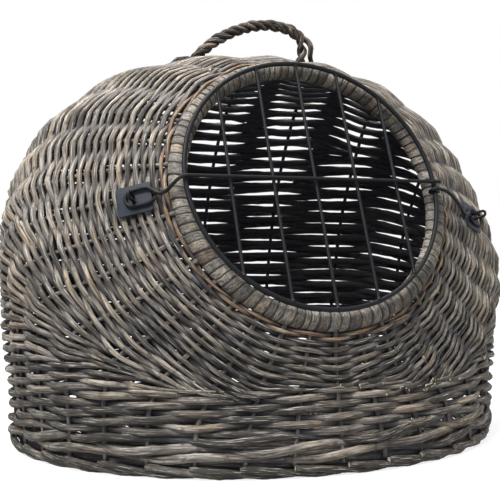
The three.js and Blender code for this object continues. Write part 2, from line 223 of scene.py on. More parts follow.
def catmull(values: np.ndarray, place: np.ndarray) -> np.ndarray:
    """Smooth values between whole places.

    Args:
        values: Values at places 0, 1, 2 and so on.
        place: Places to read, within the range of the values.

    Returns:
        One value for each place.
    """
    last = len(values) - 1
    i = np.clip(np.floor(place).astype(int), 0, last - 1)
    f = place - i
    a, b = values[np.maximum(i - 1, 0)], values[i]
    c, d = values[i + 1], values[np.minimum(i + 2, last)]
    if values.ndim > 1:
        f = f[:, None]
    return b + 0.5 * f * (c - a + f * (2 * a - 5 * b + 4 * c - d + f * (3 * (b - c) + d - a)))


def axes_matrix(x: np.ndarray, y: np.ndarray, z: np.ndarray, origin: np.ndarray) -> Matrix:
    """Matrix with these axes and this origin."""
    return Matrix([[x[i], y[i], z[i], origin[i]] for i in range(3)] + [[0, 0, 0, 1]])


@dataclass(frozen=True)
class WeatheredWillow:
    """Peeled and steamed willow rods, gone grey.

    Matt, with dark streaks of bark, pale bare fibres, small dark knots and lighter cut ends, and with shade
    painted where a rod lies back in the weave or faces into the basket.
    """

    name: str = "weathered_willow"
    dark: str = "#3c3935"
    mid: str = "#746e67"
    light: str = "#9a938a"
    pale: str = "#bcb3a6"
    grey_stops: tuple[float, ...] = (0.0, 0.36, 0.68, 1.0)
    cool: str = "#d3deef"
    warm: str = "#f2d9b4"
    tint_stops: tuple[float, ...] = (0.3, 0.5, 0.7)
    tint_share: float = 0.8
    tan: str = "#8e745a"
    bark_tones: tuple[float, float] = (1.4, 1.6)
    cut: str = "#c2b6a0"
    # Colour and share of the shade painted into the crevices of the weave and the inside of the basket.
    shade: str = "#3c3d47"
    shade_share: float = 0.9
    streak_dark: str = "#332e2a"
    streak_mid: str = "#b9b4ae"
    streak_stops: tuple[float, ...] = (0.34, 0.5, 0.66)
    streak_share: float = 0.95
    streak_length: float = 22 * MM
    streak_width: float = 1.6 * MM
    streak_detail: float = 3.0
    streak_roughness: float = 0.65
    fibre: str = "#d6cfc4"
    fibre_share: float = 0.6
    fibre_length: float = 16 * MM
    # Real fibres are too fine to show, so they are drawn as wide as they need to be.
    fibre_width: float = 0.7 * MM
    fibre_shift: tuple[float, float, float] = (5.3, 2.1, 7.7)
    fibre_limits: tuple[float, float] = (0.57, 0.7)
    wear_length: float = 40 * MM
    wear_width: float = 25 * MM
    wear_gain: float = 1.15
    wear_base: float = -1.25
    patch: float = 55 * MM
    knot: float = 7 * MM
    knot_limits: tuple[float, float] = (0.58, 0.7)
    knot_share: float = 0.75
    detail: float = 2.0
    bump: float = 0.35 * MM
    bump_strength: float = 0.9
    smoothest: float = 0.62
    roughest: float = 0.85
    specular: float = 0.35

    def along_rod(self, tree: bpy.types.NodeTree, grain: bpy.types.NodeSocket, length: float, width: float,
                  shift: tuple[float, float, float] = (0.0, 0.0, 0.0), **more: float) -> bpy.types.Node:
        """Add noise that is long and thin along each rod, in the rod's own length and girth.

        Args:
            tree: Node tree of the finish.
            grain: Place along and round the rod.
            length: Size of the pattern along the rod.
            width: Size of the pattern round the rod.
            shift: Part of the noise that is read.
            more: Other inputs of the noise.

        Returns:
            The noise node.
        """
        stretch = add_node(tree, "ShaderNodeMapping", {
            "Vector": grain, "Location": shift, "Scale": (1 / length, 1 / width, 1 / width)})
        return add_node(tree, "ShaderNodeTexNoise", {
            "Vector": stretch.outputs["Vector"], "Scale": 1.0, **more})

    def material(self) -> bpy.types.Material:
        """Build the finish from the marks that rods carry: tone, inside, cut and grain. The inside mark
        paints shade into the colour.

        Returns:
            The new material.
        """
        material = new_finish(self.name)
        tree = material.node_tree
        tone, inside, cut = (add_node(tree, "ShaderNodeAttribute", attribute_name=mark).outputs["Fac"]
                             for mark in ("tone", "inside", "cut"))
        grain = add_node(tree, "ShaderNodeAttribute", attribute_name="grain").outputs["Vector"]
        place = add_node(tree, "ShaderNodeTexCoord").outputs["Object"]
        streak = self.along_rod(tree, grain, self.streak_length, self.streak_width,
                                Detail=self.streak_detail, Roughness=self.streak_roughness)
        fibre = self.along_rod(tree, grain, self.fibre_length, self.fibre_width, self.fibre_shift,
                               Detail=self.detail)
        wear = self.along_rod(tree, grain, self.wear_length, self.wear_width, Detail=self.detail)
        patch, knot = (
            add_node(tree, "ShaderNodeTexNoise", {"Vector": place, "Scale": 1 / size,
                                                  "Detail": self.detail})
            for size in (self.patch, self.knot))
        # Weather takes a rod lighter and darker along its length, and whole patches of the weave with it.
        worn = add_node(tree, "ShaderNodeMath", {0: patch.outputs[0], 1: wear.outputs[0]})
        drift = add_node(tree, "ShaderNodeMath", {0: worn.outputs[0], 1: self.wear_gain, 2: self.wear_base},
                         operation="MULTIPLY_ADD")
        grey = add_node(tree, "ShaderNodeMath", {0: tone, 1: drift.outputs[0]})
        plain = add_node(tree, "ShaderNodeValToRGB", {"Fac": grey.outputs[0]}, ramp=list(
            zip(self.grey_stops, (self.dark, self.mid, self.light, self.pale))))
        # The grey leans to brown in some places and to blue in others.
        tint = add_node(tree, "ShaderNodeValToRGB", {"Fac": wear.outputs["Color"]}, ramp=list(
            zip(self.tint_stops, (self.cool, "#ffffff", self.warm))))
        streaks = add_node(tree, "ShaderNodeValToRGB", {"Fac": streak.outputs[0]}, ramp=list(
            zip(self.streak_stops, (self.streak_dark, self.streak_mid, "#ffffff"))))
        # Rods that kept their bark have a tone past the grey scale. Pale fibres lie bare where the bark has
        # worn off, as thin broken lines along the rod, and knots are small and dark.
        bark, bare, knotty = (
            add_node(tree, "ShaderNodeMapRange", {
                "Value": value, "From Min": low, "From Max": high, "To Max": most}).outputs[0]
            for value, (low, high), most in (
                (tone, self.bark_tones, 1.0),
                (fibre.outputs[0], self.fibre_limits, self.fibre_share),
                (knot.outputs[0], self.knot_limits, self.knot_share)))
        # Painted shade: the inside mark darkens a rod where it lies back in the weave or faces into the
        # basket.
        deep = add_node(tree, "ShaderNodeMath", {0: inside, 1: self.shade_share}, operation="MULTIPLY")
        colour = plain.outputs["Color"]
        for share, layer, way in (
                (self.tint_share, tint.outputs["Color"], "MULTIPLY"),
                (bark, linear(self.tan), "MIX"),
                (self.streak_share, streaks.outputs["Color"], "MULTIPLY"),
                (bare, linear(self.fibre), "MIX"),
                (knotty, linear(self.dark), "MIX"),
                (deep.outputs[0], linear(self.shade), "MIX"),
                (cut, linear(self.cut), "MIX")):
            colour = add_node(tree, "ShaderNodeMix", {0: share, 6: colour, 7: layer},
                              data_type="RGBA", blend_type=way).outputs[2]
        relief = add_node(tree, "ShaderNodeBump", {
            "Height": streak.outputs[0], "Distance": self.bump, "Strength": self.bump_strength})
        rough = add_node(tree, "ShaderNodeMapRange", {
            "Value": streak.outputs[0], "To Min": self.smoothest, "To Max": self.roughest})
        surface = add_node(tree, "ShaderNodeBsdfPrincipled", {
            "Base Color": colour, "Roughness": rough.outputs[0], "Normal": relief.outputs[0],
            "Specular IOR Level": self.specular})
        add_node(tree, "ShaderNodeOutputMaterial", {"Surface": surface.outputs[0]})
        return material


@dataclass(frozen=True)
class LacqueredSteel:
    """Steel wire and sheet dipped in dark lacquer: smooth, half glossy, worn a little thin in places."""

    name: str = "lacquered_steel"
    colour: str = "#08090b"
    worn: str = "#111318"
    roughness: float = 0.48
    smoother: float = 0.08
    rougher: float = 0.16
    patch: float = 9 * MM
    patch_detail: float = 4.0
    patch_roughness: float = 0.6
    patch_stops: tuple[float, float] = (0.35, 0.75)
    bump: float = 0.12 * MM
    bump_strength: float = 0.4
    specular: float = 0.16

    def material(self) -> bpy.types.Material:
        """Build the finish.

        Returns:
            The new material.
        """
        material = new_finish(self.name)
        tree = material.node_tree
        place = add_node(tree, "ShaderNodeTexCoord")
        wear = add_node(tree, "ShaderNodeTexNoise", {
            "Vector": place.outputs["Object"], "Scale": 1 / self.patch, "Detail": self.patch_detail,
            "Roughness": self.patch_roughness})
        colour = add_node(tree, "ShaderNodeValToRGB", {"Fac": wear.outputs[0]}, ramp=list(
            zip(self.patch_stops, (self.colour, self.worn))))
        rough = add_node(tree, "ShaderNodeMapRange", {
            "Value": wear.outputs[0], "To Min": self.roughness - self.smoother,
            "To Max": self.roughness + self.rougher})
        relief = add_node(tree, "ShaderNodeBump", {
            "Height": wear.outputs[0], "Distance": self.bump, "Strength": self.bump_strength})
        surface = add_node(tree, "ShaderNodeBsdfPrincipled", {
            "Base Color": colour.outputs["Color"], "Roughness": rough.outputs[0],
            "Normal": relief.outputs[0], "Specular IOR Level": self.specular})
        add_node(tree, "ShaderNodeOutputMaterial", {"Surface": surface.outputs[0]})
        return material


@dataclass(frozen=True)
class StudioWhite:
    """Matt white sweep under and behind the carrier: white to the camera, with the soft shadow left in."""

    name: str = "studio_white"
    colour: str = "#8c8c8c"
    lift: float = 0.8
    roughness: float = 0.9
    specular: float = 0.1

    def material(self) -> bpy.types.Material:
        """Build the finish.

        Returns:
            The new material.
        """
        material = new_finish(self.name)
        tree = material.node_tree
        glow = add_node(tree, "ShaderNodeMath", {0: looked_at(tree), 1: self.lift}, operation="MULTIPLY")
        surface = add_node(tree, "ShaderNodeBsdfPrincipled", {
            "Base Color": linear(self.colour), "Roughness": self.roughness,
            "Specular IOR Level": self.specular, "Emission Color": WHITE,
            "Emission Strength": glow.outputs[0]})
        add_node(tree, "ShaderNodeOutputMaterial", {"Surface": surface.outputs[0]})
        return material


@dataclass(frozen=True)
class Mouth:
    """Round rim of the basket, which leans back."""

    radius: float = 121 * MM
    forward: float = 137 * MM
    height: float = 235 * MM
    tilt: float = math.radians(22.5)
    rim_radius: float = 8.2 * MM

    @property
    def centre(self) -> np.ndarray:
        """Middle of the rim."""
        return np.array([0.0, -self.forward, self.height])

    @property
    def across(self) -> np.ndarray:
        """Direction to the right."""
        return np.array([1.0, 0.0, 0.0])

    @property
    def up(self) -> np.ndarray:
        """Direction up along the plane of the mouth."""
        return np.array([0.0, math.sin(self.tilt), math.cos(self.tilt)])

    @property
    def out(self) -> np.ndarray:
        """Direction out of the basket."""
        return np.array([0.0, -math.cos(self.tilt), math.sin(self.tilt)])

    def radial(self, turn: np.ndarray) -> np.ndarray:
        """Directions from the middle of the rim to turns on it."""
        turn = np.asarray(turn, float)
        return np.cos(turn)[..., None] * self.across + np.sin(turn)[..., None] * self.up


@dataclass(frozen=True)
class Wall:
    """Middle face of the wall: one curve from the oval foot to the rim at every turn round the basket.

    A measure with four values has them at the front, the side, the quarter behind the side, and the back.
    """

    mouth: Mouth = Mouth()
    half_width: float = 227 * MM
    half_depth: float = 197 * MM
    rise: tuple[float, ...] = (41 * MM, 215 * MM, 250 * MM, 210 * MM)
    sweep: tuple[float, ...] = (56 * MM, 223 * MM, 232 * MM, 215 * MM)
    shoulder: tuple[float, ...] = tuple(math.radians(a) for a in (25, 32, 33, 44))
    flare: float = 7 * MM
    flare_top: float = 0.38
    flare_fade: float = 0.22
    places: int = 36
    back_places: int = 6
    stake_radius: float = 2.75 * MM
    nudge: float = 1e-4

    def measure(self, turn: np.ndarray, values: tuple[float, ...]) -> np.ndarray:
        """Blend a measure round the basket.

        Args:
            turn: Turns round the basket, in radians, the back being a quarter turn.
            values: Front, side, quarter and back values.

        Returns:
            One value for each turn.
        """
        front, side, quarter, back = values
        w = np.sin(turn) ** 2
        behind = side * (1 - w) * (1 - 2 * w) + quarter * 4 * w * (1 - w) + back * w * (2 * w - 1)
        return np.where(np.sin(turn) < 0, side + (front - side) * w, behind)

    def point(self, turn: np.ndarray, share: np.ndarray) -> np.ndarray:
        """Points of the wall.

        Args:
            turn: Turns round the basket.
            share: Shares of the way from the foot, 0, to the rim, 1.

        Returns:
            One point for each pair.
        """
        turn, share = np.broadcast_arrays(np.asarray(turn, float), np.asarray(share, float))
        radial = self.mouth.radial(turn)
        angle = self.measure(turn, self.shoulder)[..., None]
        foot = np.stack([self.half_width * np.cos(turn), self.half_depth * np.sin(turn), 0 * turn], -1)
        knee = foot + self.measure(turn, self.rise)[..., None] * np.array([0.0, 0.0, 1.0])
        rim = self.mouth.centre + self.mouth.radius * radial
        leave = radial * np.cos(angle) - self.mouth.out * np.sin(angle)
        brow = rim + self.measure(turn, self.sweep)[..., None] * leave
        curve = bezier((foot, knee, brow, rim), share[..., None])
        # Low down, the sides swell beyond the even curve.
        low = ramp_up(-share, -self.flare_top, self.flare_fade)
        curve[..., 0] += self.flare * np.cos(turn) * soften(low)
        return curve

    def normal(self, turn: np.ndarray, share: np.ndarray) -> np.ndarray:
        """Outward normals of the wall.

        Args:
            turn: Turns round the basket.
            share: Shares of the way from the foot to the rim.

        Returns:
            One direction for each pair.
        """
        d = self.nudge
        level = self.point(turn + d, share) - self.point(turn - d, share)
        rise = self.point(turn, np.minimum(share + d, 1)) - self.point(turn, share - d)
        return unit(np.cross(level, rise))

    def lengths(self, turn: float, count: int = 400) -> tuple[np.ndarray, np.ndarray]:
        """Shares from foot to rim at one turn, and the length of wall up to each."""
        share = np.linspace(0, 1, count)
        return share, run_lengths(self.point(turn, share))

    def stake_places(self) -> list[int]:
        """Places of the stakes, counted from the right: at the back only every second one is taken."""
        back = self.places // 4
        return [k for k in range(self.places) if abs(k - back) >= self.back_places or (k - back) % 2 == 0]

    def share_at_reach(self, turn: float, reach: float, lowest: float = 0.4, count: int = 2000) -> float:
        """Find the share at which the wall is so far from the rim.

        Args:
            turn: Turn round the basket.
            reach: Distance from the middle of the rim's hoop at that turn.
            lowest: Share at which the search starts.
            count: Shares that are tried.

        Returns:
            Share of the way from the foot to the rim.
        """
        share = np.linspace(lowest, 1, count)
        gap = np.linalg.norm(self.point(turn, share) - self.point(turn, 1.0), axis=1)
        return float(share[np.argmin(np.abs(gap - reach))])


def willow_mesh(name: str, points: np.ndarray, faces: Sequence[Sequence[int]], cut: np.ndarray,
                marks: dict[str, np.ndarray]) -> bpy.types.Object:
    """Make a mesh object with the marks that the willow finish reads.

    Args:
        name: Name of the piece.
        points: Corners of the mesh.
        faces: Numbers of the corners of each face.
        cut: One for a face that is a cut end, and nought for any other.
        marks: Tone, inside and grain at each corner; the inside mark paints shade.

    Returns:
        The new piece, smooth but for its cut ends.
    """
    mesh = bpy.data.meshes.new(name)
    mesh.from_pydata(points.reshape(-1, 3).tolist(), [], [tuple(int(i) for i in face) for face in faces])
    mesh.polygons.foreach_set("use_smooth", cut == 0)
    mesh.attributes.new("cut", "FLOAT", "FACE").data.foreach_set("value", cut.astype(np.float32))
    for mark, kind, key in (("tone", "FLOAT", "value"), ("inside", "FLOAT", "value"),
                            ("grain", "FLOAT_VECTOR", "vector")):
        values = marks[mark].astype(np.float32).reshape(-1)
        mesh.attributes.new(mark, kind, "POINT").data.foreach_set(key, values)
    mesh.update()
    return add_object(name, mesh)


@dataclass
class RodBundle:
    """Round rods gathered into one mesh, slightly lumpy, and pressed a little flat on the wall.

    The finish reads their marks: the inside mark, which paints shade, is shade_from on the wall's middle
    face, and falls to nought in front of it over that share of shade_depth.
    """

    sides: int
    seed: int
    flat: float = 0.8
    lumps: float = 0.05
    shade_from: float = 0.6
    shade_depth: float = 4.2 * MM
    grain_shift: float = 50.0
    skew: tuple[float, float, float] = (0.3, 0.2, 0.93)

    def __post_init__(self) -> None:
        """Start without rods."""
        self.random = np.random.default_rng(self.seed)
        self.points: list[np.ndarray] = []
        self.faces: list[tuple[int, ...]] = []
        self.ends: list[int] = []
        self.marks: dict[str, list[np.ndarray]] = {"tone": [], "grain": [], "inside": []}
        self.count = 0

    def spokes(self, path: np.ndarray, angle: np.ndarray) -> np.ndarray:
        """Directions from a rod's middle to the corners of its sections, carried along it without a twist.

        Args:
            path: Points that the rod follows.
            angle: Angles of the corners in a section.

        Returns:
            One direction for each corner of each section.
        """
        tangent = unit(np.gradient(path, axis=0))
        normal = np.empty_like(path)
        normal[0] = unit(np.cross(tangent[0], self.skew))
        for i in range(1, len(path)):
            normal[i] = unit(normal[i - 1] - tangent[i] * np.dot(normal[i - 1], tangent[i]))
        side = np.cross(tangent, normal)
        return np.cos(angle)[None, :, None] * normal[:, None] + np.sin(angle)[None, :, None] * side[:, None]

    def add(self, path: np.ndarray, radius: np.ndarray | float, tone: np.ndarray | float,
            outward: Optional[np.ndarray] = None, offset: Optional[np.ndarray] = None) -> None:
        """Add one rod.

        Args:
            path: Points that the rod follows.
            radius: Radius of the rod, or one for each point.
            tone: Place of the rod's colour on the finish's scale, or one for each point.
            outward: Wall normal at each point.
            offset: Distance of each point in front of the wall's middle face.
        """
        n, sides = len(path), self.sides
        radius = np.broadcast_to(np.asarray(radius, float), (n,))[:, None]
        angle = FULL_TURN * np.arange(sides) / sides
        lump = 1 + self.lumps * self.random.standard_normal((n, sides))
        spoke = self.spokes(path, angle)
        inside = np.zeros((n, sides))
        if outward is not None:
            proud = np.einsum("nsk,nk->ns", spoke, outward)[..., None]
            spoke = spoke - (1 - self.flat) * proud * outward[:, None]
            # Where the rod lies back in the weave or faces in, it is marked for painted shade.
            front = offset[:, None] + radius * np.einsum("nsk,nk->ns", spoke, outward)
            inside = np.clip(self.shade_from - front / self.shade_depth, 0, 1)
        self.points.append((path[:, None] + spoke * (radius * lump)[..., None]).reshape(-1, 3))
        # Every rod reads another part of the grain.
        shift = self.random.uniform(0, self.grain_shift, 3)
        along = np.repeat(run_lengths(path)[:, None], sides, 1)
        grain = np.stack([along, radius * np.cos(angle), radius * np.sin(angle)], -1)
        self.marks["grain"].append((grain + shift).reshape(-1, 3))
        self.marks["tone"].append(np.repeat(np.broadcast_to(tone, (n,)), sides))
        self.marks["inside"].append(inside.reshape(-1))
        self.skin(n)

    def skin(self, n: int) -> None:
        """Join the sections of the last rod by faces, and close its two cut ends.

        Args:
            n: Number of its sections.
        """
        base, sides = self.count, self.sides
        ring = np.arange(sides)
        after = (ring + 1) % sides
        for i in range(n - 1):
            low, high = base + i * sides, base + (i + 1) * sides
            self.faces.extend(zip(low + ring, low + after, high + after, high + ring))
        self.ends += [len(self.faces), len(self.faces) + 1]
        self.faces += [tuple(base + ring[::-1]), tuple(base + (n - 1) * sides + ring)]
        self.count += n * sides

    def build(self, name: str) -> bpy.types.Object:
        """Make the bundle's mesh object.

        Args:
            name: Name of the piece.

        Returns:
            The new piece.
        """
        cut = np.zeros(len(self.faces))
        cut[self.ends] = 1
        marks = {mark: np.concatenate(parts) for mark, parts in self.marks.items()}
        return willow_mesh(name, np.concatenate(self.points), self.faces, cut, marks)


def area_up_to(values: np.ndarray, along: np.ndarray) -> np.ndarray:
    """Area under values up to each of the places along which they are given."""
    return np.concatenate([[0.0], np.cumsum((values[1:] + values[:-1]) / 2 * np.diff(along))])


@dataclass
class Row:
    """One row of weave, over the stakes on both sides of the back as far as it reaches.

    A short row goes on past its last stake by its tip, counted in stakes, and no lower than its ground.
    """

    number: int
    reach: int
    radius: float
    tip: float
    share: np.ndarray
    pitch: np.ndarray
    scale: np.ndarray
    ground: Optional[np.ndarray] = None


@dataclass
class Weave:
    """Rods of the wall: thick rows round the foot, short rows that fill the sides, fine rows round the mouth.

    Places are counted in stakes from the back. A field that ends in places says where the field after it has
    its values, and a pair of numbers gives the two ends of a range.
    """

    wall: Wall
    foot_top: float = 14 * MM
    wale_rows: int = 3
    base_rows: int = 7
    rim_rows: int = 11
    wale_pitch: float = 6.6 * MM
    base_pitch: float = 5.4 * MM
    near_pitch: float = 3.7 * MM
    near_depth: float = 40 * MM
    far_depth: float = 240 * MM
    far_places: tuple[float, ...] = (0, 5, 9, 18)
    far_pitches: tuple[float, ...] = (7.2 * MM, 7.0 * MM, 5.0 * MM, 4.6 * MM)
    fan: int = 9
    front: int = 14
    behind_ends: tuple[float, float] = (0.25, 1.0)
    end_jitter: tuple[float, float] = (0.2, 0.8)
    seam_top: float = 0.27
    seam_width: float = 0.48
    squeeze_places: tuple[float, ...] = (0, 9, 12, 14, 16, 18)
    squeezes: tuple[float, ...] = (1.0, 1.0, 0.86, 0.84, 1.0, 1.12)
    uneven_places: tuple[float, ...] = (0, 9, 11, 16, 18)
    unevens: tuple[float, ...] = (0.07, 0.07, 0.17, 0.17, 0.09)
    fill_places: tuple[float, ...] = (0, 4, 6, 9, 12, 14, 16, 18)
    fills: tuple[float, ...] = (0.605, 0.605, 0.67, 0.68, 0.69, 0.7, 0.65, 0.6)
    fill_bark: float = 0.5
    wale_radius: float = 3.8 * MM
    base_radius: float = 3.25 * MM
    most_radius: float = 4.15 * MM
    thickness: tuple[float, float] = (0.94, 1.05)
    taper: tuple[float, float] = (1.06, 0.9)
    wale_stakes: int = 3
    wale_proud: float = 0.35
    wale_swing: float = 1.05
    wale_tilt: float = 0.4
    hug_low: float = 0.62
    hug: float = 0.84
    hug_rim: float = 0.66
    hug_rows: int = 14
    bend: float = 0.6
    slant: float = 0.07
    lift: float = 2.0 * MM
    gap_tip: float = 0.85
    band_tip: tuple[float, float] = (0.5, 1.1)
    band_lap: tuple[float, float] = (-1 * MM, 13 * MM)
    band_rest: float = 1.4
    ease: float = 4 * MM
    front_gap: float = 0.03
    seen_share: float = 0.4
    seen_rest: float = 0.8
    hidden_rest: float = -0.3
    end_slim: float = 0.45
    hidden: float = -0.1
    rod_stakes: tuple[int, int] = (8, 15)
    least_stakes: int = 5
    joint_gap: float = 0.02
    side_tips: int = 12
    mouth_tips: int = 5
    tip_run: tuple[float, float] = (-0.6, 0.1)
    tip_swing: tuple[float, float] = (-0.4, 1.5)
    tip_slim: float = 0.75
    tip_samples: int = 7
    # The band's rods get a lower tone than the dome's: shade painted towards the foot.
    shaded_band_tone: float = 0.43
    dome_tone: float = 0.6
    tone_spread: float = 0.24
    bark_tone: float = 2.0
    bark_rows: int = 2
    # Painted shade below the mouth: how much tone it takes, and where round the front it starts and grows.
    under_rim_shade: float = 0.4
    under_rim_shade_start: float = 11
    under_rim_shade_span: float = 5
    samples: int = 6
    sides: int = 7
    stake_sides: int = 8
    stake_samples: int = 40
    stake_foot: float = 10 * MM
    stake_head: float = 4 * MM
    stake_thin: tuple[float, float] = (0.7, 0.8)
    stake_tones: tuple[float, float] = (0.3, 0.65)
    nudge: float = 1e-3

    def __post_init__(self) -> None:
        """Lay out the rows on every stake."""
        self.random = np.random.default_rng(SEED)
        self.half = self.wall.places // 2
        self.low = self.wale_rows + self.base_rows
        self.rows: list[Row] = []
        self.lay_out()

    def turn(self, place: np.ndarray) -> np.ndarray:
        """Turn of a place counted in stakes from the back."""
        return BACK + FULL_TURN * np.asarray(place) / self.wall.places

    def column(self, place: np.ndarray | float) -> np.ndarray:
        """Column of a place in the tables of the rows, in which the back is the middle one."""
        return (np.asarray(place, float) + self.half) % (2 * self.half)

    def room(self, stake: int) -> tuple[np.ndarray, np.ndarray]:
        """Measure the room for rows along a stake, square to the way they run.

        Args:
            stake: Place of the stake.

        Returns:
            Shares up the stake, and the room up to each.
        """
        wall, turn, d = self.wall, float(self.turn(stake)), self.nudge
        share, length = wall.lengths(turn)
        rise = wall.point(turn, np.minimum(share + d, 1)) - wall.point(turn, np.maximum(share - d, 0))
        level = wall.point(turn + d, share) - wall.point(turn - d, share)
        slant = np.linalg.norm(np.cross(unit(rise), unit(level)), axis=1)
        return share, area_up_to(slant, length)

    def grade(self, place: float, depth: np.ndarray) -> np.ndarray:
        """Room that a row takes above the band.

        Args:
            place: Place of the stake.
            depth: Depths below the rim.

        Returns:
            Room for one row at each depth.
        """
        far = np.interp(place, self.far_places, self.far_pitches)
        deep = soften(ramp_up(depth, self.near_depth, self.far_depth - self.near_depth))
        squeeze = np.interp(place, self.squeeze_places, self.squeezes)
        return squeeze * (self.near_pitch + (far - self.near_pitch) * deep)

    def choose_reaches(self, counts: list[float]) -> list[int]:
        """Choose how far each row goes.

        Args:
            counts: Rows that fit above the band at each place from the back to the front.

        Returns:
            Last place of every row, from the foot to the rim.
        """
        pairs: list[int] = []
        for count in counts:
            fits = max(0, round((count - self.rim_rows) / 2))
            pairs.append(min(fits, pairs[-1]) if pairs else fits)
        # Behind, pairs end among those that go on. Round the front they end along a seam that falls
        # to the band.
        alive = list(range(pairs[0]))
        last = [self.half] * pairs[0]
        for m in range(1, self.half + 1):
            ending = len(alive) - pairs[m]
            first, final = self.behind_ends
            if m > self.fan:
                first = float(np.interp(m, (self.fan, self.front), (self.seam_top, 0)))
                final = first + self.seam_width
            gone = set()
            for i in range(ending):
                level = first + (final - first) * (i + self.random.uniform(*self.end_jitter)) / ending
                spot = int(level * len(alive))
                free = [j for j in range(len(alive)) if j not in gone]
                gone.add(min(free, key=lambda j: abs(j - spot)))
            for j in gone:
                last[alive[j]] = m - 1
            alive = [pair for j, pair in enumerate(alive) if j not in gone]
        short = [last[j // 2] for j in range(2 * pairs[0])]
        return [self.half] * self.low + short + [self.half] * self.rim_rows

    def lay_out(self) -> None:
        """Place every row on every stake, fine at the rim and coarser down the back."""
        half = self.half
        low_widths = np.array([self.wale_pitch] * self.wale_rows + [self.base_pitch] * self.base_rows)
        band = low_widths.sum()
        tables, starts, grids, counts = [], [], [], []
        for m in range(half + 1):
            share, width = self.room(m)
            height = self.wall.point(float(self.turn(m)), share)[:, 2]
            start = float(np.interp(self.foot_top, height, width))
            depth = np.linspace(0, width[-1] - start - self.wall.mouth.rim_radius - band, len(share))
            count = area_up_to(1 / self.grade(m, depth), depth)
            tables.append((share, width))
            starts.append(start)
            grids.append((depth, count))
            counts.append(float(count[-1]))
        reaches = self.choose_reaches(counts)
        total = len(reaches)
        share = np.full((total, 2 * half + 1), np.nan)
        pitch, scale = share.copy(), share.copy()
        for k in range(2 * half + 1):
            m = abs(k - half)
            here = [r for r in range(total) if reaches[r] >= m]
            upper = len(here) - self.low
            depth, count = grids[m]
            places = np.interp((np.arange(upper) + 0.5) * counts[m] / upper, count, depth)[::-1]
            widths = np.interp(places, depth, self.grade(m, depth)) * counts[m] / upper
            widths = np.concatenate([low_widths, widths])
            height = np.concatenate([np.cumsum(low_widths) - low_widths / 2, band + depth[-1] - places])
            uneven = np.interp(m, self.uneven_places, self.unevens)
            height += starts[m] + self.random.normal(0, 1, len(here)) * uneven * widths
            values, rooms = tables[m]
            share[here, k] = np.interp(height, rooms, values)
            above, below = (np.interp(height + way * MM, rooms, values) for way in (1, -1))
            scale[here, k] = (above - below) / (2 * MM)
            pitch[here, k] = widths
        # Full rows close at the front, where the first column and the last are one stake.
        share[:, 0] = np.where(np.isnan(share[:, 0]), share[:, 0], share[:, -1])
        top = share[self.low - 1] + pitch[self.low - 1] / 2 * scale[self.low - 1]
        radii = [self.wale_radius] * self.wale_rows + [self.base_radius] * self.base_rows
        radii += [self.most_radius] * (total - self.low)
        for r in range(total):
            row = Row(r, reaches[r], radii[r], 0.0, share[r], pitch[r], scale[r])
            if row.reach < half:
                self.run_out(row, reaches, share, pitch, scale, top)
            self.rows.append(row)
        LOG.info("weave: %d rows at the back, %d at the front", total, reaches.count(half))

    def run_out(self, row: Row, reaches: list[int], share: np.ndarray, pitch: np.ndarray,
                scale: np.ndarray, top: np.ndarray) -> None:
        """Lead a row past its last stake into the gap that its neighbours close, or along the band.

        Args:
            row: Row to go on with.
            reaches: Last stake of every row.
            share: Shares of all rows on all stakes.
            pitch: Room of all rows on all stakes.
            scale: Share for each metre up the wall.
            top: Share of the band's upper edge on every stake.
        """
        half, last, r = self.half, row.reach, row.number
        above = next(i for i in range(r, len(reaches)) if reaches[i] > last)
        below = next(i for i in range(r, -1, -1) if reaches[i] > last)
        for way in (-1, 1):
            k, ahead = half + way * last, half + way * (last + 1)
            if below >= self.low:
                level = (r - below) / (above - below)
                row.share[ahead] = share[below, ahead] + level * (share[above, ahead] - share[below, ahead])
            else:
                row.share[ahead] = share[above, ahead] - (share[above, k] - row.share[k])
            row.pitch[ahead] = min(row.pitch[k], pitch[above, ahead])
            row.scale[ahead] = scale[above, ahead]
        if below >= self.low:
            row.tip = self.gap_tip
            return
        room = float(row.share[half + last] - top[half + last])
        meet = room / max(1e-6, room + float(top[half + last + 1] - row.share[half + last + 1]))
        tip = float(np.clip(meet, 0, 1)) + float(self.random.uniform(*self.band_tip))
        row.tip = min(tip, half - last - self.front_gap)
        row.ground = top - float(self.random.uniform(*self.band_lap)) * scale[self.low - 1]
        if last + 2 <= half:
            for way in (-1, 1):
                k = half + way * last
                row.share[k + 2 * way] = 2 * row.share[k + way] - row.share[k]
                row.pitch[k + 2 * way] = row.pitch[k + way]
                row.scale[k + 2 * way] = row.scale[k + way]

    def beat(self, row: Row, place: np.ndarray | float) -> np.ndarray:
        """Count the stakes that a row has passed.

        Args:
            row: Row, of which each starts one stake on from the row below.
            place: Places of its points.

        Returns:
            Stakes passed from the back to each place, where those at the back stand two places apart.
        """
        near = self.column(place) - self.half
        gap = self.wall.back_places
        return np.where(np.abs(near) <= gap, near / 2, near - np.sign(near) * gap / 2) + row.number

    def wave(self, row: Row, place: np.ndarray | float) -> np.ndarray:
        """Swing of a row in front of and behind the stakes.

        Args:
            row: Row that swings.
            place: Places of its points.

        Returns:
            Values from 1, in front, to -1, behind.
        """
        beat = self.beat(row, place)
        if row.number < self.wale_rows:
            swing = np.cos(FULL_TURN * beat / self.wale_stakes)
            return np.clip(self.wale_proud + self.wale_swing * swing, -1, 1)
        swing = np.cos(np.pi * beat)
        # Rods run nearly straight from stake to stake and bend sharply round each.
        return (1 - self.bend) * swing + self.bend * 2 / np.pi * np.arcsin(np.clip(swing, -1, 1))

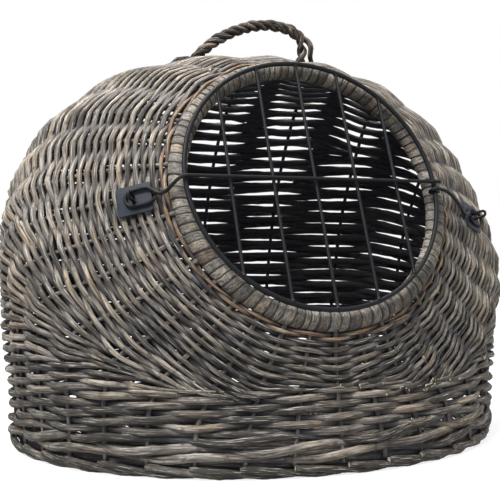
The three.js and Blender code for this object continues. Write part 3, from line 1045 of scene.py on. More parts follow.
    def course(self, row: Row, place: np.ndarray) -> tuple[np.ndarray, np.ndarray, np.ndarray]:
        """Follow a row round the basket.

        Args:
            row: Row to follow.
            place: Places of its points.

        Returns:
            Share, pitch and swing at each place.
        """
        column = self.column(place)
        if row.reach == self.half:
            first = -1
            parts = [np.concatenate([v[-2:-1], v, v[1:2]]) for v in (row.share, row.pitch, row.scale)]
        else:
            more = min(2 if row.ground is not None else 1, self.half - row.reach)
            first, last = self.half - row.reach - more, self.half + row.reach + more
            parts = [v[first:last + 1] for v in (row.share, row.pitch, row.scale)]
        shares, pitches, scales = (catmull(part, column - first) for part in parts)
        if row.ground is not None:
            # A row that comes down on the band bends over softly to lie along it.
            over = shares - catmull(row.ground, column)
            shares += (np.sqrt(over * over + (self.ease * scales) ** 2) - over) / 2
        beat = self.beat(row, place)
        if row.number < self.wale_rows:
            tilt = self.wale_tilt * np.sin(FULL_TURN * beat / self.wale_stakes)
        else:
            tilt = self.slant * np.sin(np.pi * beat)
        return shares + tilt * pitches * scales, pitches, self.wave(row, place)

    def lay(self, bundle: RodBundle, row: Row, place: np.ndarray, share: np.ndarray,
            pitch: np.ndarray, swing: np.ndarray, tone: float, slim: np.ndarray | float = 1.0) -> None:
        """Add one rod of a row to a bundle.

        Args:
            bundle: Bundle that gets the rod.
            row: Row that the rod belongs to.
            place: Places of its points, in stakes from the back.
            share: Shares of the wall's height.
            pitch: Room that the row has at each point.
            swing: Swing in front of, 1, or behind, -1, the stakes.
            tone: Colour of the rod.
            slim: Share of its thickness that the rod has at each point.
        """
        turn = self.turn(place)
        taper = np.linspace(*self.taper, len(place))
        if self.random.random() < 0.5:
            taper = taper[::-1]
        away = np.abs(self.column(place) - self.half)
        fill = np.interp(away, self.fill_places, self.fills) if tone <= 1 else self.fill_bark
        thick = self.random.uniform(*self.thickness)
        radius = np.minimum(row.radius, fill * pitch) * taper * slim * thick
        # Stakes thin out towards the rim, so the fine rows there swing less.
        hug = self.hug_low if row.number < self.low else float(np.interp(
            len(self.rows) - row.number, (self.hug_rows / 2, self.hug_rows), (self.hug_rim, self.hug)))
        offset = swing * (self.wall.stake_radius + radius) * hug
        normal = self.wall.normal(turn, share)
        path = self.wall.point(turn, share) + (offset + self.lift)[:, None] * normal
        # Round the front, below the mouth, shade under the rim is painted into the rods by a lower tone.
        under_rim_shade = self.under_rim_shade if self.low <= row.number and tone <= 1 else 0.0
        bundle.add(path, radius, tone - under_rim_shade * ramp_up(away, self.under_rim_shade_start, self.under_rim_shade_span), normal, offset)

    def tone(self, row: Row) -> float:
        """Choose the colour of the next rod.

        Args:
            row: Row that it belongs to.

        Returns:
            Place on the finish's scale. The rows next to the rim have kept their bark.
        """
        if row.number >= len(self.rows) - self.bark_rows:
            return self.bark_tone
        middle = self.shaded_band_tone if row.number < self.low else self.dome_tone
        return float(np.clip(self.random.normal(middle, self.tone_spread), 0.0, 1.0))

    def joints(self, row: Row, first: float, last: float) -> list[float]:
        """Choose where rods of a row meet, always behind a stake.

        Args:
            row: Row to divide.
            first: Place where it starts.
            last: Place where it ends.

        Returns:
            Places from the first to the last.
        """
        stops = [first]
        for stake in range(math.ceil(first) + 1, math.floor(last)):
            gap = int(self.random.integers(*self.rod_stakes))
            behind = self.wave(row, stake) < self.hidden
            if behind and stake - stops[-1] >= gap and last - stake > self.least_stakes:
                stops.append(stake)
        return stops + [last]

    def add_row(self, bundle: RodBundle, row: Row) -> None:
        """Weave a row that goes all the way round.

        Args:
            bundle: Bundle that gets its rods.
            row: Row to weave.
        """
        behind = [stake for stake in range(self.half) if self.wave(row, stake) < self.hidden]
        start = int(self.random.choice(behind))
        stops = self.joints(row, start, start + 2 * self.half)
        for a, b in zip(stops, stops[1:]):
            count = round((b - a) * self.samples) + 1
            place = np.linspace(a + self.joint_gap, b - self.joint_gap, count)
            self.lay(bundle, row, place, *self.course(row, place), self.tone(row))

    def add_free(self, bundle: RodBundle, row: Row) -> None:
        """Weave a short row whose two ends taper off, some of them in sight.

        Args:
            bundle: Bundle that gets its rods.
            row: Row to weave.
        """
        end = row.reach + row.tip
        stops = self.joints(row, -end, end)
        for a, b in zip(stops, stops[1:]):
            place = np.linspace(a, b, max(4, round((b - a) * self.samples)) + 1)
            share, pitch, swing = self.course(row, place)
            fade = ramp_up(np.abs(place), row.reach, row.tip)
            if row.ground is not None:
                rest = self.band_rest
            else:
                rest = self.seen_rest if self.random.random() < self.seen_share else self.hidden_rest
            self.lay(bundle, row, place, share, pitch, swing + (rest - swing) * fade, self.tone(row),
                     1 - self.end_slim * fade)

    def add_tips(self, bundle: RodBundle, rows: list[Row], count: int) -> None:
        """Add cut rod ends that stand a little proud of the weave.

        Args:
            bundle: Bundle that gets them.
            rows: Rows that they lie in.
            count: Number of ends.
        """
        for _ in range(count):
            row = rows[int(self.random.integers(0, len(rows)))]
            stake = int(self.random.integers(-row.reach + 1, row.reach))
            way = 1 if self.random.random() < 0.5 else -1
            place = stake + np.linspace(*self.tip_run, self.tip_samples) * way
            share, pitch, _ = self.course(row, place)
            swing = np.linspace(*self.tip_swing, self.tip_samples)
            self.lay(bundle, row, place, share, pitch, swing, self.tone(row), self.tip_slim)

    def stakes(self, finish: bpy.types.Material) -> None:
        """Make the upright stakes.

        Args:
            finish: Willow of the wall.
        """
        bundle = RodBundle(self.stake_sides, SEED + 3)
        names = []
        for index, place in enumerate(self.wall.stake_places()):
            turn = FULL_TURN * place / self.wall.places
            share, length = self.wall.lengths(turn)
            even = np.linspace(self.stake_foot, length[-1] - self.stake_head, self.stake_samples)
            run = np.interp(even, length, share)
            turns = np.full(len(run), turn)
            normal = self.wall.normal(turns, run)
            radius = self.wall.stake_radius * self.random.uniform(*self.stake_thin)
            tone = float(self.random.uniform(*self.stake_tones))
            path = self.wall.point(turns, run) + self.lift * normal
            bundle.add(path, radius, tone, normal, np.zeros(len(run)))
            names.append(f"stake_{index + 1:02d}")
        dress(bundle.build("willow_stakes"), finish, Body.BASKET, names)

    def build(self, finish: bpy.types.Material) -> None:
        """Make the band, the dome and the stakes.

        Args:
            finish: Willow of the wall.
        """
        band = RodBundle(self.sides, SEED + 1)
        for row in self.rows[:self.low]:
            self.add_row(band, row)
        dress(band.build("woven_band"), finish, Body.BASKET, ["wale_band"])
        short = [row for row in self.rows[self.low:] if row.reach < self.half]
        full = [row for row in self.rows[self.low:] if row.reach == self.half]
        middle = len(short) // 2
        for name, rows, weave, tips in (("woven_side_low", short[:middle], self.add_free, self.side_tips),
                                        ("woven_side_high", short[middle:], self.add_free, self.side_tips),
                                        ("woven_mouth", full, self.add_row, self.mouth_tips)):
            bundle = RodBundle(self.sides, SEED + 2)
            for row in rows:
                weave(bundle, row)
            self.add_tips(bundle, rows, tips)
            dress(bundle.build(name), finish, Body.BASKET, ["woven_dome"])
        self.stakes(finish)


@dataclass
class Foot:
    """Border that the basket stands on, and the oval floor inside it.

    A field that ends in places says where along a rod of the border the field after it has its values.
    """

    wall: Wall
    half: float = 9 * MM
    rod: float = 3.3 * MM
    thickness: tuple[float, float] = (0.9, 1.04)
    thin_places: tuple[float, ...] = (0, 0.05, 0.35, 1)
    thins: tuple[float, ...] = (0.8, 1, 1, 0.5)
    out_places: tuple[float, ...] = (0, 0.35, 0.72, 1)
    outs: tuple[float, ...] = (4.6 * MM, 4.2 * MM, 3.0 * MM, -2.0 * MM)
    span: float = 2.1
    stray: float = 0.15
    climb: float = 5.6 * MM
    fall: float = 0.72
    clearance: float = 0.2 * MM
    # The border's rods have a low tone: shade painted as if cast by the bulging wall above.
    tone: float = 0.14
    tone_spread: float = 0.15
    palest: float = 0.8
    core_outs: tuple[float, float] = (-4.6 * MM, -3.4 * MM)
    core_heights: tuple[float, float] = (4.2 * MM, 11 * MM)
    core_radii: tuple[float, float] = (4.0 * MM, 3.4 * MM)
    # Offset that only marks the core for painted shade.
    core_shade_offset: float = -2 * MM
    core_tone: float = 0.25
    border_samples: int = 26
    border_sides: int = 9
    core_samples: int = 97
    floor_low: float = 3 * MM
    floor_crown: float = 7 * MM
    floor_thick: float = 8 * MM
    floor_pitch: float = 6.4 * MM
    floor_gap: float = 0.6 * MM
    floor_fill: float = 0.54
    floor_swing: float = 1.9 * MM
    floor_calm: float = 3.0
    floor_tone: float = 0.42
    floor_spread: float = 0.16
    floor_tones: tuple[float, float] = (0.05, 0.88)
    floor_samples: int = 81
    floor_sides: int = 6
    sticks: int = 20
    stick_radius: float = 1.9 * MM
    stick_end: float = 0.985
    stick_tones: tuple[float, float] = (0.4, 0.7)
    stick_samples: int = 15

    def place(self, turn: np.ndarray, out: np.ndarray | float, z: np.ndarray | float) -> np.ndarray:
        """Points so far outside the foot oval, at given heights."""
        return np.stack([(self.wall.half_width + self.wall.flare + out) * np.cos(turn),
                         (self.wall.half_depth + out) * np.sin(turn), z + 0 * turn], -1)

    def outward(self, turn: np.ndarray, z: np.ndarray | float) -> np.ndarray:
        """Directions out of the foot oval."""
        return unit(self.place(turn, MM, z) - self.place(turn, 0.0, z))

    def border(self, finish: bpy.types.Material) -> None:
        """Lay the stake ends down: each starts high on the outside and falls to tuck in under the next two.

        Args:
            finish: Willow of the wall.
        """
        random = np.random.default_rng(SEED + 4)
        bundle = RodBundle(self.border_sides, SEED + 5)
        step = FULL_TURN / self.wall.places
        t = np.linspace(0, 1, self.border_samples)
        drop = ramp_up(t, 0, self.fall)
        out = np.interp(t, self.out_places, self.outs)
        for k in range(self.wall.places):
            turn = step * (k + random.uniform(-self.stray, self.stray) + self.span * t)
            rod = self.rod * random.uniform(*self.thickness)
            thin = rod * np.interp(t, self.thin_places, self.thins)
            z = thin + self.clearance + self.climb * (1 - drop)
            tone = float(np.clip(random.normal(self.tone, self.tone_spread), 0.0, self.palest))
            bundle.add(self.place(turn, out, z), thin, tone, self.outward(turn, z), out)
        ring = np.linspace(0, FULL_TURN, self.core_samples)
        for out, z, radius in zip(self.core_outs, self.core_heights, self.core_radii):
            # The core is set back so that the finish paints it in shade.
            depth = np.full(len(ring), self.core_shade_offset)
            bundle.add(self.place(ring, out, z), radius, self.core_tone, self.outward(ring, z), depth)
        dress(bundle.build("plaited_foot"), finish, Body.BASKET, ["foot_border"])

    def floor(self, finish: bpy.types.Material) -> None:
        """Weave the crowned floor in rounds over sticks.

        Args:
            finish: Willow of the wall.
        """
        random = np.random.default_rng(SEED + 6)
        bundle = RodBundle(self.floor_sides, SEED + 7)
        inset = self.half + self.floor_gap
        wide, deep = self.wall.half_width + self.wall.flare - inset, self.wall.half_depth - inset
        middle = self.floor_low + self.floor_thick / 2
        rounds = int(deep / self.floor_pitch)
        turn = np.linspace(0, FULL_TURN, self.floor_samples)
        for i in range(1, rounds):
            ratio = (i + 0.5) / rounds
            calm = min(1.0, ratio * self.floor_calm)
            swing = self.floor_swing * np.cos(self.sticks * turn / 2 + np.pi * i) * calm
            z = middle + self.floor_crown * (1 - ratio ** 2) + swing
            path = np.stack([wide * ratio * np.cos(turn), deep * ratio * np.sin(turn), z], -1)
            tone = float(np.clip(random.normal(self.floor_tone, self.floor_spread), *self.floor_tones))
            bundle.add(path, self.floor_fill * self.floor_pitch, tone)
        t = np.linspace(-self.stick_end, self.stick_end, self.stick_samples)
        for k in range(self.sticks // 2):
            way = np.pi * (k + 0.5) / (self.sticks // 2)
            z = middle + self.floor_crown * (1 - t ** 2)
            path = np.stack([wide * t * np.cos(way), deep * t * np.sin(way), z], -1)
            bundle.add(path, self.stick_radius, float(random.uniform(*self.stick_tones)))
        dress(bundle.build("woven_floor"), finish, Body.BASKET, ["floor_panel"])


@dataclass
class Rim:
    """Hoop of the mouth, bound closely with split willow."""

    mouth: Mouth
    wraps: int = 94
    steps: int = 12
    sides: int = 18
    width_spread: float = 0.28
    width_limit: float = 1.5
    lift: float = 0.18 * MM
    groove: float = 1.1 * MM
    crack: float = 0.105
    crack_depths: tuple[float, float] = (0.35, 1.0)
    crack_shade: float = 2.0
    tone: float = 0.63
    tone_spread: float = 0.13
    grain_run: float = 0.7

    def build(self, finish: bpy.types.Material) -> None:
        """Make the bound hoop: flat turns of uneven width, with cracks of uneven depth between them, painted
        dark as shade, the deeper the darker.

        Args:
            finish: Willow of the binding.
        """
        random = np.random.default_rng(SEED + 8)
        count, sides = self.wraps * self.steps, self.sides
        spread = random.standard_normal(self.wraps).clip(-self.width_limit, self.width_limit)
        width = 1 + self.width_spread * spread
        edges = np.concatenate([[0], np.cumsum(width)]) / width.sum()
        lift = random.normal(0, self.lift, self.wraps)
        tones = np.clip(random.normal(self.tone, self.tone_spread, self.wraps), 0.0, 1.0)
        depth = random.uniform(*self.crack_depths, self.wraps + 1)
        index = np.arange(count)
        wrap, part = index // self.steps, (index % self.steps) / self.steps
        crack = np.where(part < 0.5, depth[wrap], depth[(wrap + 1) % self.wraps])
        crack = crack * np.clip(1 - np.minimum(part, 1 - part) / self.crack, 0, 1)
        radius = (self.mouth.rim_radius + lift[wrap] - self.groove * crack)[:, None]
        # On its way round the hoop, each turn moves on to where the next one starts.
        start = edges[wrap] + part * (edges[wrap + 1] - edges[wrap])
        ahead = edges[(wrap + 1) % self.wraps] + (wrap + 1) // self.wraps
        follow = ahead + part * np.roll(np.diff(edges), -1)[wrap]
        share = np.arange(sides) / sides
        around = FULL_TURN * share
        turn = FULL_TURN * (start[:, None] + (follow - start)[:, None] * share)
        reach = self.mouth.radius + radius * np.cos(around)
        points = (self.mouth.centre + self.mouth.radial(turn) * reach[..., None]
                  + self.mouth.out * (radius * np.sin(around))[..., None])
        run = np.repeat(start[:, None] * self.grain_run, sides, 1)
        # The cracks between turns are painted darker with their depth, as shade.
        marks = {"tone": np.repeat(tones[wrap] - self.crack_shade * crack, sides),
                 "inside": np.zeros(count * sides),
                 "grain": np.stack([around * radius + wrap[:, None], run, 0 * run], -1)}
        i, j = np.divmod(np.arange(count * sides), sides)
        k = (j + 1) % sides
        shift = np.where(k == 0, self.steps, 0)
        faces = np.stack([i * sides + j, (i + 1) % count * sides + j,
                          (i + 1 + shift) % count * sides + k, (i + shift) % count * sides + k], -1)
        piece = willow_mesh("bound_rim", points, faces.tolist(), np.zeros(len(faces)), marks)
        dress(piece, finish, Body.BASKET, ["rim_hoop"])


@dataclass
class Handle:
    """Three dark willow strands twisted together along a bow over the dome.

    A field that ends in part gives where along the bow something starts, and over how much of it it grows.
    """

    wall: Wall
    back: float = 8 * MM
    right_turn: float = math.radians(16.5)
    left_turn: float = math.radians(20.5)
    lowest: float = 0.6
    search: int = 3000
    reach: float = 65 * MM
    lean: float = 12 * MM
    slope: float = 32 * MM
    strand: float = 2.75 * MM
    twist: float = 3.1 * MM
    pitch: float = 30 * MM
    loose: float = 0.12
    loose_length: float = 43 * MM
    lumps: float = 0.1
    lump_length: float = 61 * MM
    spread: float = 5.6 * MM
    spread_part: tuple[float, float] = (0.55, 0.3)
    forks: tuple[float, ...] = (-10.4 * MM, -10.4 * MM, 5.6 * MM)
    fork_part: tuple[float, float] = (0.77, 0.14)
    tones: tuple[float, float] = (0.3, 0.6)
    tails: tuple[float, ...] = (math.radians(6.0), math.radians(4.5))
    tail_end: float = math.radians(-2.5)
    tail_places: tuple[float, ...] = (0, 0.3, 0.7, 1)
    tail_rises: tuple[float, ...] = (0.2, 1, 1, 0.3)
    tail_thin: tuple[float, float] = (0.8, 1.15)
    tail_tone: float = 0.4
    tail_samples: int = 10
    proud: float = 9.5 * MM
    curve_samples: int = 400
    samples: int = 130
    sides: int = 12

    def foot(self, turn: float) -> np.ndarray:
        """Find where the handle goes through the wall.

        Args:
            turn: Turn round the basket.

        Returns:
            Point of the wall.
        """
        points = self.wall.point(turn, np.linspace(self.lowest, 1, self.search))
        return points[np.argmin(np.abs(points[:, 1] - self.back))]

    def tail(self, turn: float) -> np.ndarray:
        """Lead a strand's end up through the weave on the left and along it.

        Args:
            turn: Turn at which it comes up, counted from the handle's left foot.

        Returns:
            Points that the end follows.
        """
        turns = BACK + self.left_turn + np.linspace(turn, self.tail_end, self.tail_samples)
        points = np.stack([self.foot(float(t)) for t in turns])
        along = np.linspace(0, 1, self.tail_samples)
        points[:, 2] += self.proud * np.interp(along, self.tail_places, self.tail_rises)
        return points

    def build(self, finish: bpy.types.Material) -> None:
        """Make the strands.

        Args:
            finish: Dark willow of the handle.
        """
        left, right = self.foot(BACK + self.left_turn), self.foot(BACK - self.right_turn)
        knots = (left, left + np.array([self.slope, 0, self.reach - self.lean]),
                 right + np.array([self.slope / 2, 0, self.reach + self.lean]), right)
        bow = bezier(knots, np.linspace(0, 1, self.curve_samples)[:, None])
        along = run_lengths(bow)
        even = np.linspace(0, along[-1], self.samples)
        bow = np.stack([np.interp(even, along, bow[:, i]) for i in range(3)], 1)
        part = even / along[-1]
        bow[:, 0] += self.spread * ramp_up(part, *self.spread_part)
        side = np.array([0.0, 1.0, 0.0])
        above = np.cross(side, unit(np.gradient(bow, axis=0)))
        turns = round(along[-1] / self.pitch)
        random = np.random.default_rng(SEED + 9)
        for index, fork in enumerate(self.forks):
            angle = (FULL_TURN * (turns * part + index / len(self.forks)))[:, None]
            loose = 1 + self.loose * np.sin(FULL_TURN * (even / self.loose_length + random.random()))
            path = bow + self.twist * loose[:, None] * (np.cos(angle) * above + np.sin(angle) * side)
            path[:, 0] += fork * ramp_up(part, *self.fork_part)
            lumps = 1 + self.lumps * np.sin(FULL_TURN * (even / self.lump_length + random.random()))
            bundle = RodBundle(self.sides, SEED + 10 + index)
            bundle.add(path, self.strand * lumps, float(random.uniform(*self.tones)))
            if index < len(self.tails):
                end = self.tail(self.tails[index])
                end[:, 1] += (index - 0.5) * 2 * self.strand
                bundle.add(end, self.strand * np.linspace(*self.tail_thin, len(end)), self.tail_tone)
            dress(bundle.build(f"twisted_strand_{index + 1}"), finish, Body.BASKET,
                  [f"handle_strand_{index + 1}"])


def bend_wire(name: str, points: list[Vector], radius: float, node: str, finish: bpy.types.Material,
              body: Body, step: float = 1.2 * MM) -> None:
    """Bend a round wire along points and dress it.

    Args:
        name: Name of the piece.
        points: Points that the wire passes.
        radius: Radius of the wire.
        node: CAD node that it stands for.
        finish: Finish of the wire.
        body: Body that it moves with.
        step: Distance of the sections that round off the bends.
    """
    deselect()
    path = np.array([p[:] for p in points])
    counts = [max(2, int(run / step) + 1) for run in np.diff(run_lengths(path))]
    place = np.concatenate([np.linspace(i, i + 1, count)[:-1] for i, count in enumerate(counts)]
                           + [[len(counts)]])
    fine = catmull(path, place)
    curve = bpy.data.curves.new(name, "CURVE")
    curve.dimensions = "3D"
    curve.bevel_depth = radius
    curve.bevel_resolution = 3
    curve.use_fill_caps = True
    spline = curve.splines.new("POLY")
    spline.points.add(len(fine) - 1)
    for target, p in zip(spline.points, fine):
        target.co = (*p, 1)
    piece = add_object(name, curve)
    piece.select_set(True)
    bpy.context.view_layer.objects.active = piece
    bpy.ops.object.convert(target="MESH")
    piece = bpy.context.object
    piece.data.name = name
    bpy.ops.object.mode_set(mode="EDIT")
    bpy.ops.mesh.select_all(action="SELECT")
    bpy.ops.mesh.remove_doubles(threshold=1e-6)
    bpy.ops.mesh.normals_make_consistent(inside=False)
    bpy.ops.object.mode_set(mode="OBJECT")
    bpy.ops.object.shade_smooth_by_angle(angle=SMOOTH_ANGLE)
    dress(piece, finish, body, [node])


@dataclass
class Fitting:
    """Plate and staple on the outside of the wall, with axes to the mouth, up and out."""

    wall: Wall
    turn: float
    reach: float
    weave: float = 5 * MM
    gap: float = 0.3 * MM
    length: float = 31 * MM
    height: float = 26 * MM
    thick: float = 1.6 * MM
    corner: float = 2 * MM
    corner_segments: int = 6
    edge: float = 0.35 * MM
    edge_segments: int = 3
    edge_angle: float = math.radians(35)
    staple_wire: float = 1.3 * MM
    staple_width: float = 5.4 * MM
    staple_height: float = 14.5 * MM
    clinch: float = 2.5 * MM
    clinch_slack: float = 1.8 * MM
    clinch_round: float = 0.3
    eye_play: float = 1 * MM
    eye_neck: float = 9 * MM
    neck_bend: tuple[float, float] = (0.6, 0.4)
    neck_end: float = 0.7
    arc_samples: int = 13
    eye_samples: int = 9

    def matrix(self) -> Matrix:
        """Axes and place of the plate's outer face.

        Returns:
            Matrix from the plate to the carrier.
        """
        share = self.wall.share_at_reach(self.turn, self.reach)
        z = self.wall.normal(self.turn, share)
        y = unit(self.wall.mouth.up - z * float(self.wall.mouth.up @ z))
        outside = self.wall.stake_radius + self.weave + 2 * self.gap + self.thick
        return axes_matrix(np.cross(y, z), y, z, self.wall.point(self.turn, share) + z * outside)

    @property
    def hand(self) -> float:
        """Side of the plate's own x axis on which the mouth lies."""
        return math.copysign(1.0, -self.matrix()[0][0] * math.cos(self.turn))

    def plate(self, name: str, node: str, finish: bpy.types.Material) -> None:
        """Make the sheet plate: a thin block with round corners and softened edges.

        Args:
            name: Name of the piece.
            node: CAD node that it stands for.
            finish: Finish of the sheet.
        """
        deselect()
        bpy.ops.mesh.primitive_cube_add(size=1, location=(0, 0, -self.thick / 2))
        piece = bpy.context.object
        piece.name = piece.data.name = name
        piece.scale = (self.length, self.height, self.thick)
        bpy.ops.object.transform_apply(location=True, rotation=True, scale=True)
        bpy.ops.object.mode_set(mode="EDIT")
        bpy.ops.mesh.select_mode(type="EDGE")
        bpy.ops.mesh.select_all(action="DESELECT")
        bpy.ops.object.mode_set(mode="OBJECT")
        for edge in piece.data.edges:
            a, b = (piece.data.vertices[i].co for i in edge.vertices)
            edge.select = abs(a.z - b.z) > self.thick / 2
        bpy.ops.object.mode_set(mode="EDIT")
        bpy.ops.mesh.bevel(offset=self.corner, segments=self.corner_segments)
        bpy.ops.object.mode_set(mode="OBJECT")
        bevel = piece.modifiers.new("edge", "BEVEL")
        bevel.width = self.edge
        bevel.segments = self.edge_segments
        bpy.ops.object.modifier_apply(modifier=bevel.name)
        bpy.ops.object.shade_smooth_by_angle(angle=self.edge_angle)
        piece.data.transform(self.matrix())
        dress(piece, finish, Body.BASKET, [node])

    def staple(self, name: str, node: str, finish: bpy.types.Material) -> None:
        """Make the wire bow, with its legs bent apart behind the weave.

        Args:
            name: Name of the piece.
            node: CAD node that it stands for.
            finish: Finish of the wire.
        """
        half = self.staple_width / 2
        crown = self.staple_height - self.staple_wire - half
        bend = 2 * self.staple_wire
        near = bend * self.clinch_round
        inside = -(self.thick + self.gap + self.weave + self.clinch_slack + self.staple_wire)
        leg = [(bend + self.clinch, half, inside), (bend, half, inside), (near, half, inside + near),
               (0, half, inside + bend)]
        arc = [(0, half * math.cos(a), crown + half * math.sin(a))
               for a in np.linspace(0, math.pi, self.arc_samples)]
        path = leg + arc + [(-x, -y, z) for x, y, z in reversed(leg)]
        matrix = self.matrix()
        bend_wire(name, [matrix @ Vector(p) for p in path], self.staple_wire, node, finish, Body.BASKET)

    def eye(self, wire: float, slack: float, front: float) -> list[Vector]:
        """Lay out an oblong wire eye over the staple.

        Args:
            wire: Radius of its wire.
            slack: Room from the staple to the round of the tip.
            front: Distance from the staple to where the neck starts.

        Returns:
            Points from the neck round the tip and back.
        """
        half = self.staple_width / 2 + self.staple_wire + self.eye_play + wire
        height = wire + self.gap
        hand = self.hand
        along, aside = self.neck_bend
        flat = [(front + self.eye_neck, 0), (front + self.eye_neck * along, half * aside), (front, half)]
        flat += [(-slack - half * math.sin(a), half * math.cos(a))
                 for a in np.linspace(0, math.pi, self.eye_samples)]
        flat += [(front, -half), (front + self.eye_neck * self.neck_end, -(2 * wire + self.gap))]
        matrix = self.matrix()
        return [matrix @ Vector((hand * x, y, height)) for x, y in flat]


@dataclass
class Door:
    """Wire grille: a ring with upright bars, a crossbar that ends in the hinge eye, and the hasp.

    Ring, bars and crossbar have only the share called fine of the thickness given for them. A weld step
    gives a length of bar and how much the bar grows by its end.
    """

    wall: Wall
    hinge: Fitting
    latch: Fitting
    inset: float = 4 * MM
    raise_up: float = 2 * MM
    aside: float = -2 * MM
    ring_wire: float = 2.4 * MM
    ring_segments: int = 160
    wire_sides: int = 14
    seam_turn: float = 0.35
    seam_swell: float = 0.18
    seam_length: float = 2.2 * MM
    bars: int = 5
    bar_wire: float = 1.8 * MM
    bar_sink: float = 0.55
    weld_back: float = 6 * MM
    weld_steps: tuple[tuple[float, float], ...] = ((3 * MM, 1.0), (2 * MM, 1.25), (1.4 * MM, 1.36))
    cross_wire: float = 1.8 * MM
    cross_tail: float = 4 * MM
    hasp_wire: float = 1.6 * MM
    hasp_drop: float = 7 * MM
    hasp_play: float = 0.5 * MM
    hasp_slack: float = 12 * MM
    hasp_front: float = 5 * MM
    hook_turns: tuple[float, float] = (350, 90)
    hook_samples: int = 13
    gap: float = 0.3 * MM
    fine: float = 0.87
    samples: int = 9

    @property
    def radius(self) -> float:
        """Radius of the ring."""
        return self.wall.mouth.radius - self.inset

    def matrix(self) -> Matrix:
        """Axes of the door: right, up and out.

        Returns:
            Matrix from the door to the carrier.
        """
        mouth = self.wall.mouth
        off = mouth.rim_radius + self.ring_wire + self.hasp_play + 2 * self.hasp_wire + self.gap
        origin = mouth.centre + mouth.out * off + mouth.up * self.raise_up + mouth.across * self.aside
        return axes_matrix(mouth.across, mouth.up, mouth.out, origin)

    def ring(self, finish: bpy.types.Material) -> None:
        """Make the ring, with the low swell of its butt weld at the foot.

        Args:
            finish: Finish of the wire.
        """
        deselect()
        bpy.ops.mesh.primitive_torus_add(major_radius=self.radius, minor_radius=self.fine * self.ring_wire,
                                         major_segments=self.ring_segments,
                                         minor_segments=self.wire_sides)
        piece = bpy.context.object
        piece.name = piece.data.name = "grille_ring"
        for vertex in piece.data.vertices:
            turn = math.atan2(vertex.co.y, vertex.co.x)
            from_seam = (turn + BACK + self.seam_turn + math.pi) % FULL_TURN - math.pi
            away = abs(from_seam) * self.radius
            swell = self.seam_swell * math.exp(-(away / self.seam_length) ** 2)
            middle = Vector((math.cos(turn), math.sin(turn), 0)) * self.radius
            vertex.co = middle + (vertex.co - middle) * (1 + swell)
        bpy.ops.object.shade_smooth()
        piece.data.transform(self.matrix())
        dress(piece, finish, Body.DOOR, ["door_frame"])

    def bar(self, index: int, finish: bpy.types.Material) -> None:
        """Make an upright bar whose ends flow out into their welds on the ring.

        Args:
            index: Number of the bar from the left, the first being nought.
            finish: Finish of the wire.
        """
        spacing = 2 * self.radius / (self.bars + 1)
        x = (index - (self.bars - 1) / 2) * spacing
        half = math.sqrt(self.radius ** 2 - x ** 2) - self.ring_wire * self.bar_sink
        deselect()
        bpy.ops.mesh.primitive_cylinder_add(vertices=self.wire_sides, radius=self.fine * self.bar_wire,
                                            depth=2 * half)
        piece = bpy.context.object
        piece.name = piece.data.name = f"grille_bar_{index + 1}"
        bpy.ops.object.mode_set(mode="EDIT")
        bpy.ops.mesh.select_mode(type="FACE")
        for end in (1, -1):
            bpy.ops.mesh.select_all(action="DESELECT")
            bpy.ops.object.mode_set(mode="OBJECT")
            for face in piece.data.polygons:
                face.select = face.normal.z * end > 0.9
            bpy.ops.object.mode_set(mode="EDIT")
            bpy.ops.transform.translate(value=(0, 0, -self.weld_back * end))
            for run, growth in self.weld_steps:
                bpy.ops.mesh.extrude_region_move(TRANSFORM_OT_translate={"value": (0, 0, run * end)})
                bpy.ops.transform.resize(value=(growth, growth, 1))
        bpy.ops.object.mode_set(mode="OBJECT")
        bpy.ops.object.shade_smooth_by_angle(angle=SMOOTH_ANGLE)
        stand = Matrix.Translation((x, 0, 0)) @ Matrix.Rotation(-math.pi / 2, 4, "X")
        piece.data.transform(self.matrix() @ stand)
        dress(piece, finish, Body.DOOR, [f"door_bar_{index + 1}"])

    def arm(self, start: Vector, direction: Vector, eye: list[Vector]) -> list[Vector]:
        """Run a wire freely from the door to the neck of an eye.

        Args:
            start: Point where it leaves the door.
            direction: Direction in which it leaves.
            eye: Points of the eye.

        Returns:
            Points from the start to just before the neck.
        """
        begin, neck = np.array(start), np.array(eye[0])
        span = np.linalg.norm(begin - neck) / 3
        heading = unit(np.array(eye[1]) - neck)
        knots = (begin, begin + np.array(direction) * span, neck - heading * span, neck)
        return [Vector(p) for p in bezier(knots, np.linspace(0, 1, self.samples)[:-1, None])]

    def crossbar(self, finish: bpy.types.Material) -> None:
        """Make the bar across the front, bent at its left end to the eye on the hinge staple.

        Args:
            finish: Finish of the wire.
        """
        matrix = self.matrix()
        z = self.ring_wire + self.cross_wire + self.gap
        fit = self.hinge
        half = fit.staple_width / 2 + fit.staple_wire + fit.eye_play + self.cross_wire
        # The eye is long enough to swing over the staple.
        swing = math.hypot(half + fit.staple_wire, fit.staple_height) + self.cross_wire + fit.eye_play
        eye = fit.eye(self.cross_wire, 0, swing - half)
        right = matrix @ Vector((self.radius + self.cross_tail, 0, z))
        left = matrix @ Vector((-self.radius, 0, z))
        away = matrix.to_3x3() @ Vector((-1, 0, 0))
        straight = [right.lerp(left, t) for t in np.linspace(0, 1, self.samples)[:-1]]
        bend_wire("grille_crossbar", straight + self.arm(left, away, eye) + eye, self.fine * self.cross_wire,
                  "door_crossbar", finish, Body.DOOR)

